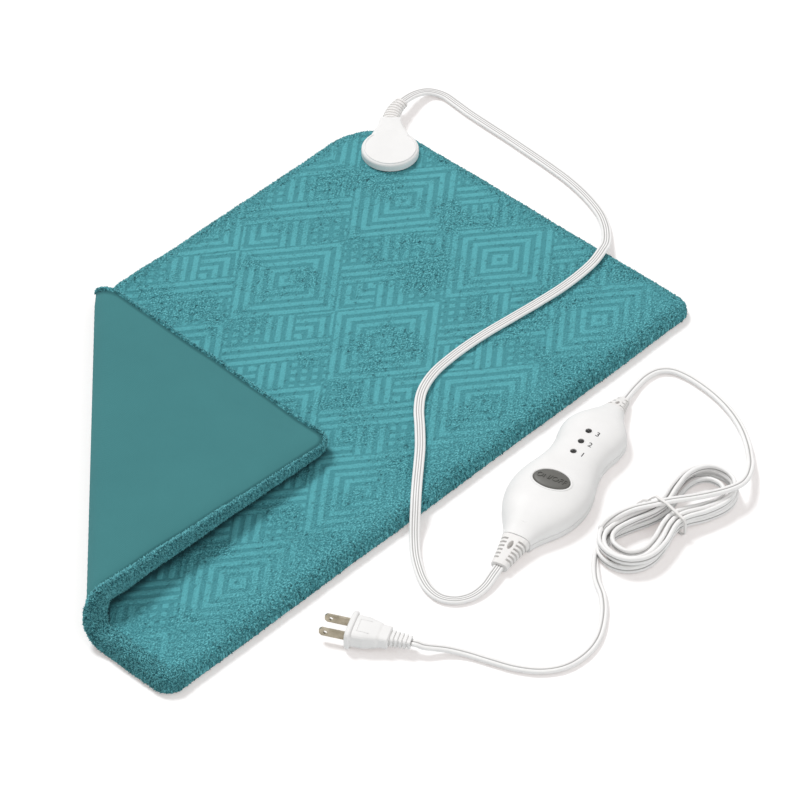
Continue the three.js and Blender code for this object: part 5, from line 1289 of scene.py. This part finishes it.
wear(metal("screw_zinc", srgb(178, 180, 182), srgb(140, 142, 146), (0.3, 0.45), brushed=(6, 6, 1)),
     "connector_screw_1", "connector_screw_2", "controller_screw_1", "controller_screw_2")
wear(board_finish("board_resist"), "circuit_board")

# The step round the connector's lid, open towards the neck, and the panel line on the plug
LID_RADIUS, LID_FROM, LID_TURN = 18.2, 42, 276
lid_ring = [CONNECTOR @ Vector((x, y, 30)) for x, y in
            oval(0, 0, LID_RADIUS, LID_RADIUS, [math.radians(LID_FROM + a) for a in angles(LID_TURN, 120)])]
lid_step = laid_line("connector_lid_step", nodes["connector_top_shell"], lid_ring, 0.55 * MM)
corners = [(1.5, 5.4), (9.6, 5.4), (9.6, -5.4), (1.5, -5.4)]
panel = [PLUG @ Vector((x0 + (x1 - x0) * k / 16, y0 + (y1 - y0) * k / 16, 20))
         for (x0, y0), (x1, y1) in zip(corners, corners[1:]) for k in range(16)]
plug_panel = laid_line("plug_panel_line", nodes["plug_body"], panel, 0.35 * MM)
wear(housing, lid_step, plug_panel)
for name in ("hank_tie", "plug_body"):
    smoothed(nodes[name].data)

# Floor, a little under the object, and the world: both are white to the camera
FLOOR_HALF, FLOOR_LEVEL = 3, -0.0004
floor_corners = [(x * FLOOR_HALF, y * FLOOR_HALF, FLOOR_LEVEL)
                 for x, y in ((-1, -1), (1, -1), (1, 1), (-1, 1))]
floor_mesh = mesh_of("floor", floor_corners, [(0, 1, 2, 3)])
floor = add_object("floor", floor_mesh, body=None, smooth=False)
floor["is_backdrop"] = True
floor_shader = Shader("floor")
light_path = floor_shader.node("LightPath")
seen, shiny = (Field(floor_shader.tree, light_path.outputs[f"Is {kind} Ray"])
               for kind in ("Camera", "Glossy"))
floor_shader.set(base_color=(0.74, 0.77, 0.78, 1), roughness=0.9, specular_ior_level=0.0,
                 emission_color=(0.34, 0.29, 0.275, 1), emission_strength=larger(seen, shiny))
floor_mesh.materials.append(floor_shader.material)

SKY_LIGHT, SEEN_SKY = 0.46, 1.0
world = bpy.data.worlds.new("studio")
bpy.context.scene.world = world
world.use_nodes = True
sky, link = world.node_tree.nodes, world.node_tree.links.new
sky["Background"].inputs["Color"].default_value = (1, 1, 1, 1)
path, light = sky.new("ShaderNodeLightPath"), sky.new("ShaderNodeMapRange")
light.inputs["To Min"].default_value, light.inputs["To Max"].default_value = SKY_LIGHT, SEEN_SKY
link(path.outputs["Is Camera Ray"], light.inputs["Value"])
link(light.outputs[0], sky["Background"].inputs["Strength"])

# Two suns: name, strength, place, angle and colour
for name, strength, at, degrees, colour in (
        ("key", 1.95, (0.3, 1.6, 2.2), 16, (1, 1, 1)),
        ("fill", 0.85, (-0.35, -1.7, 1.0), 80, (1, 0.985, 0.975))):
    sun = bpy.data.lights.new(name, "SUN")
    sun.energy, sun.color, sun.angle = strength, colour, math.radians(degrees)
    aimed(name, sun, at, -Vector(at))

low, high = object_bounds()
{"cad": [list(cad_low), list(cad_high)], "visual": [list(low), list(high)]}
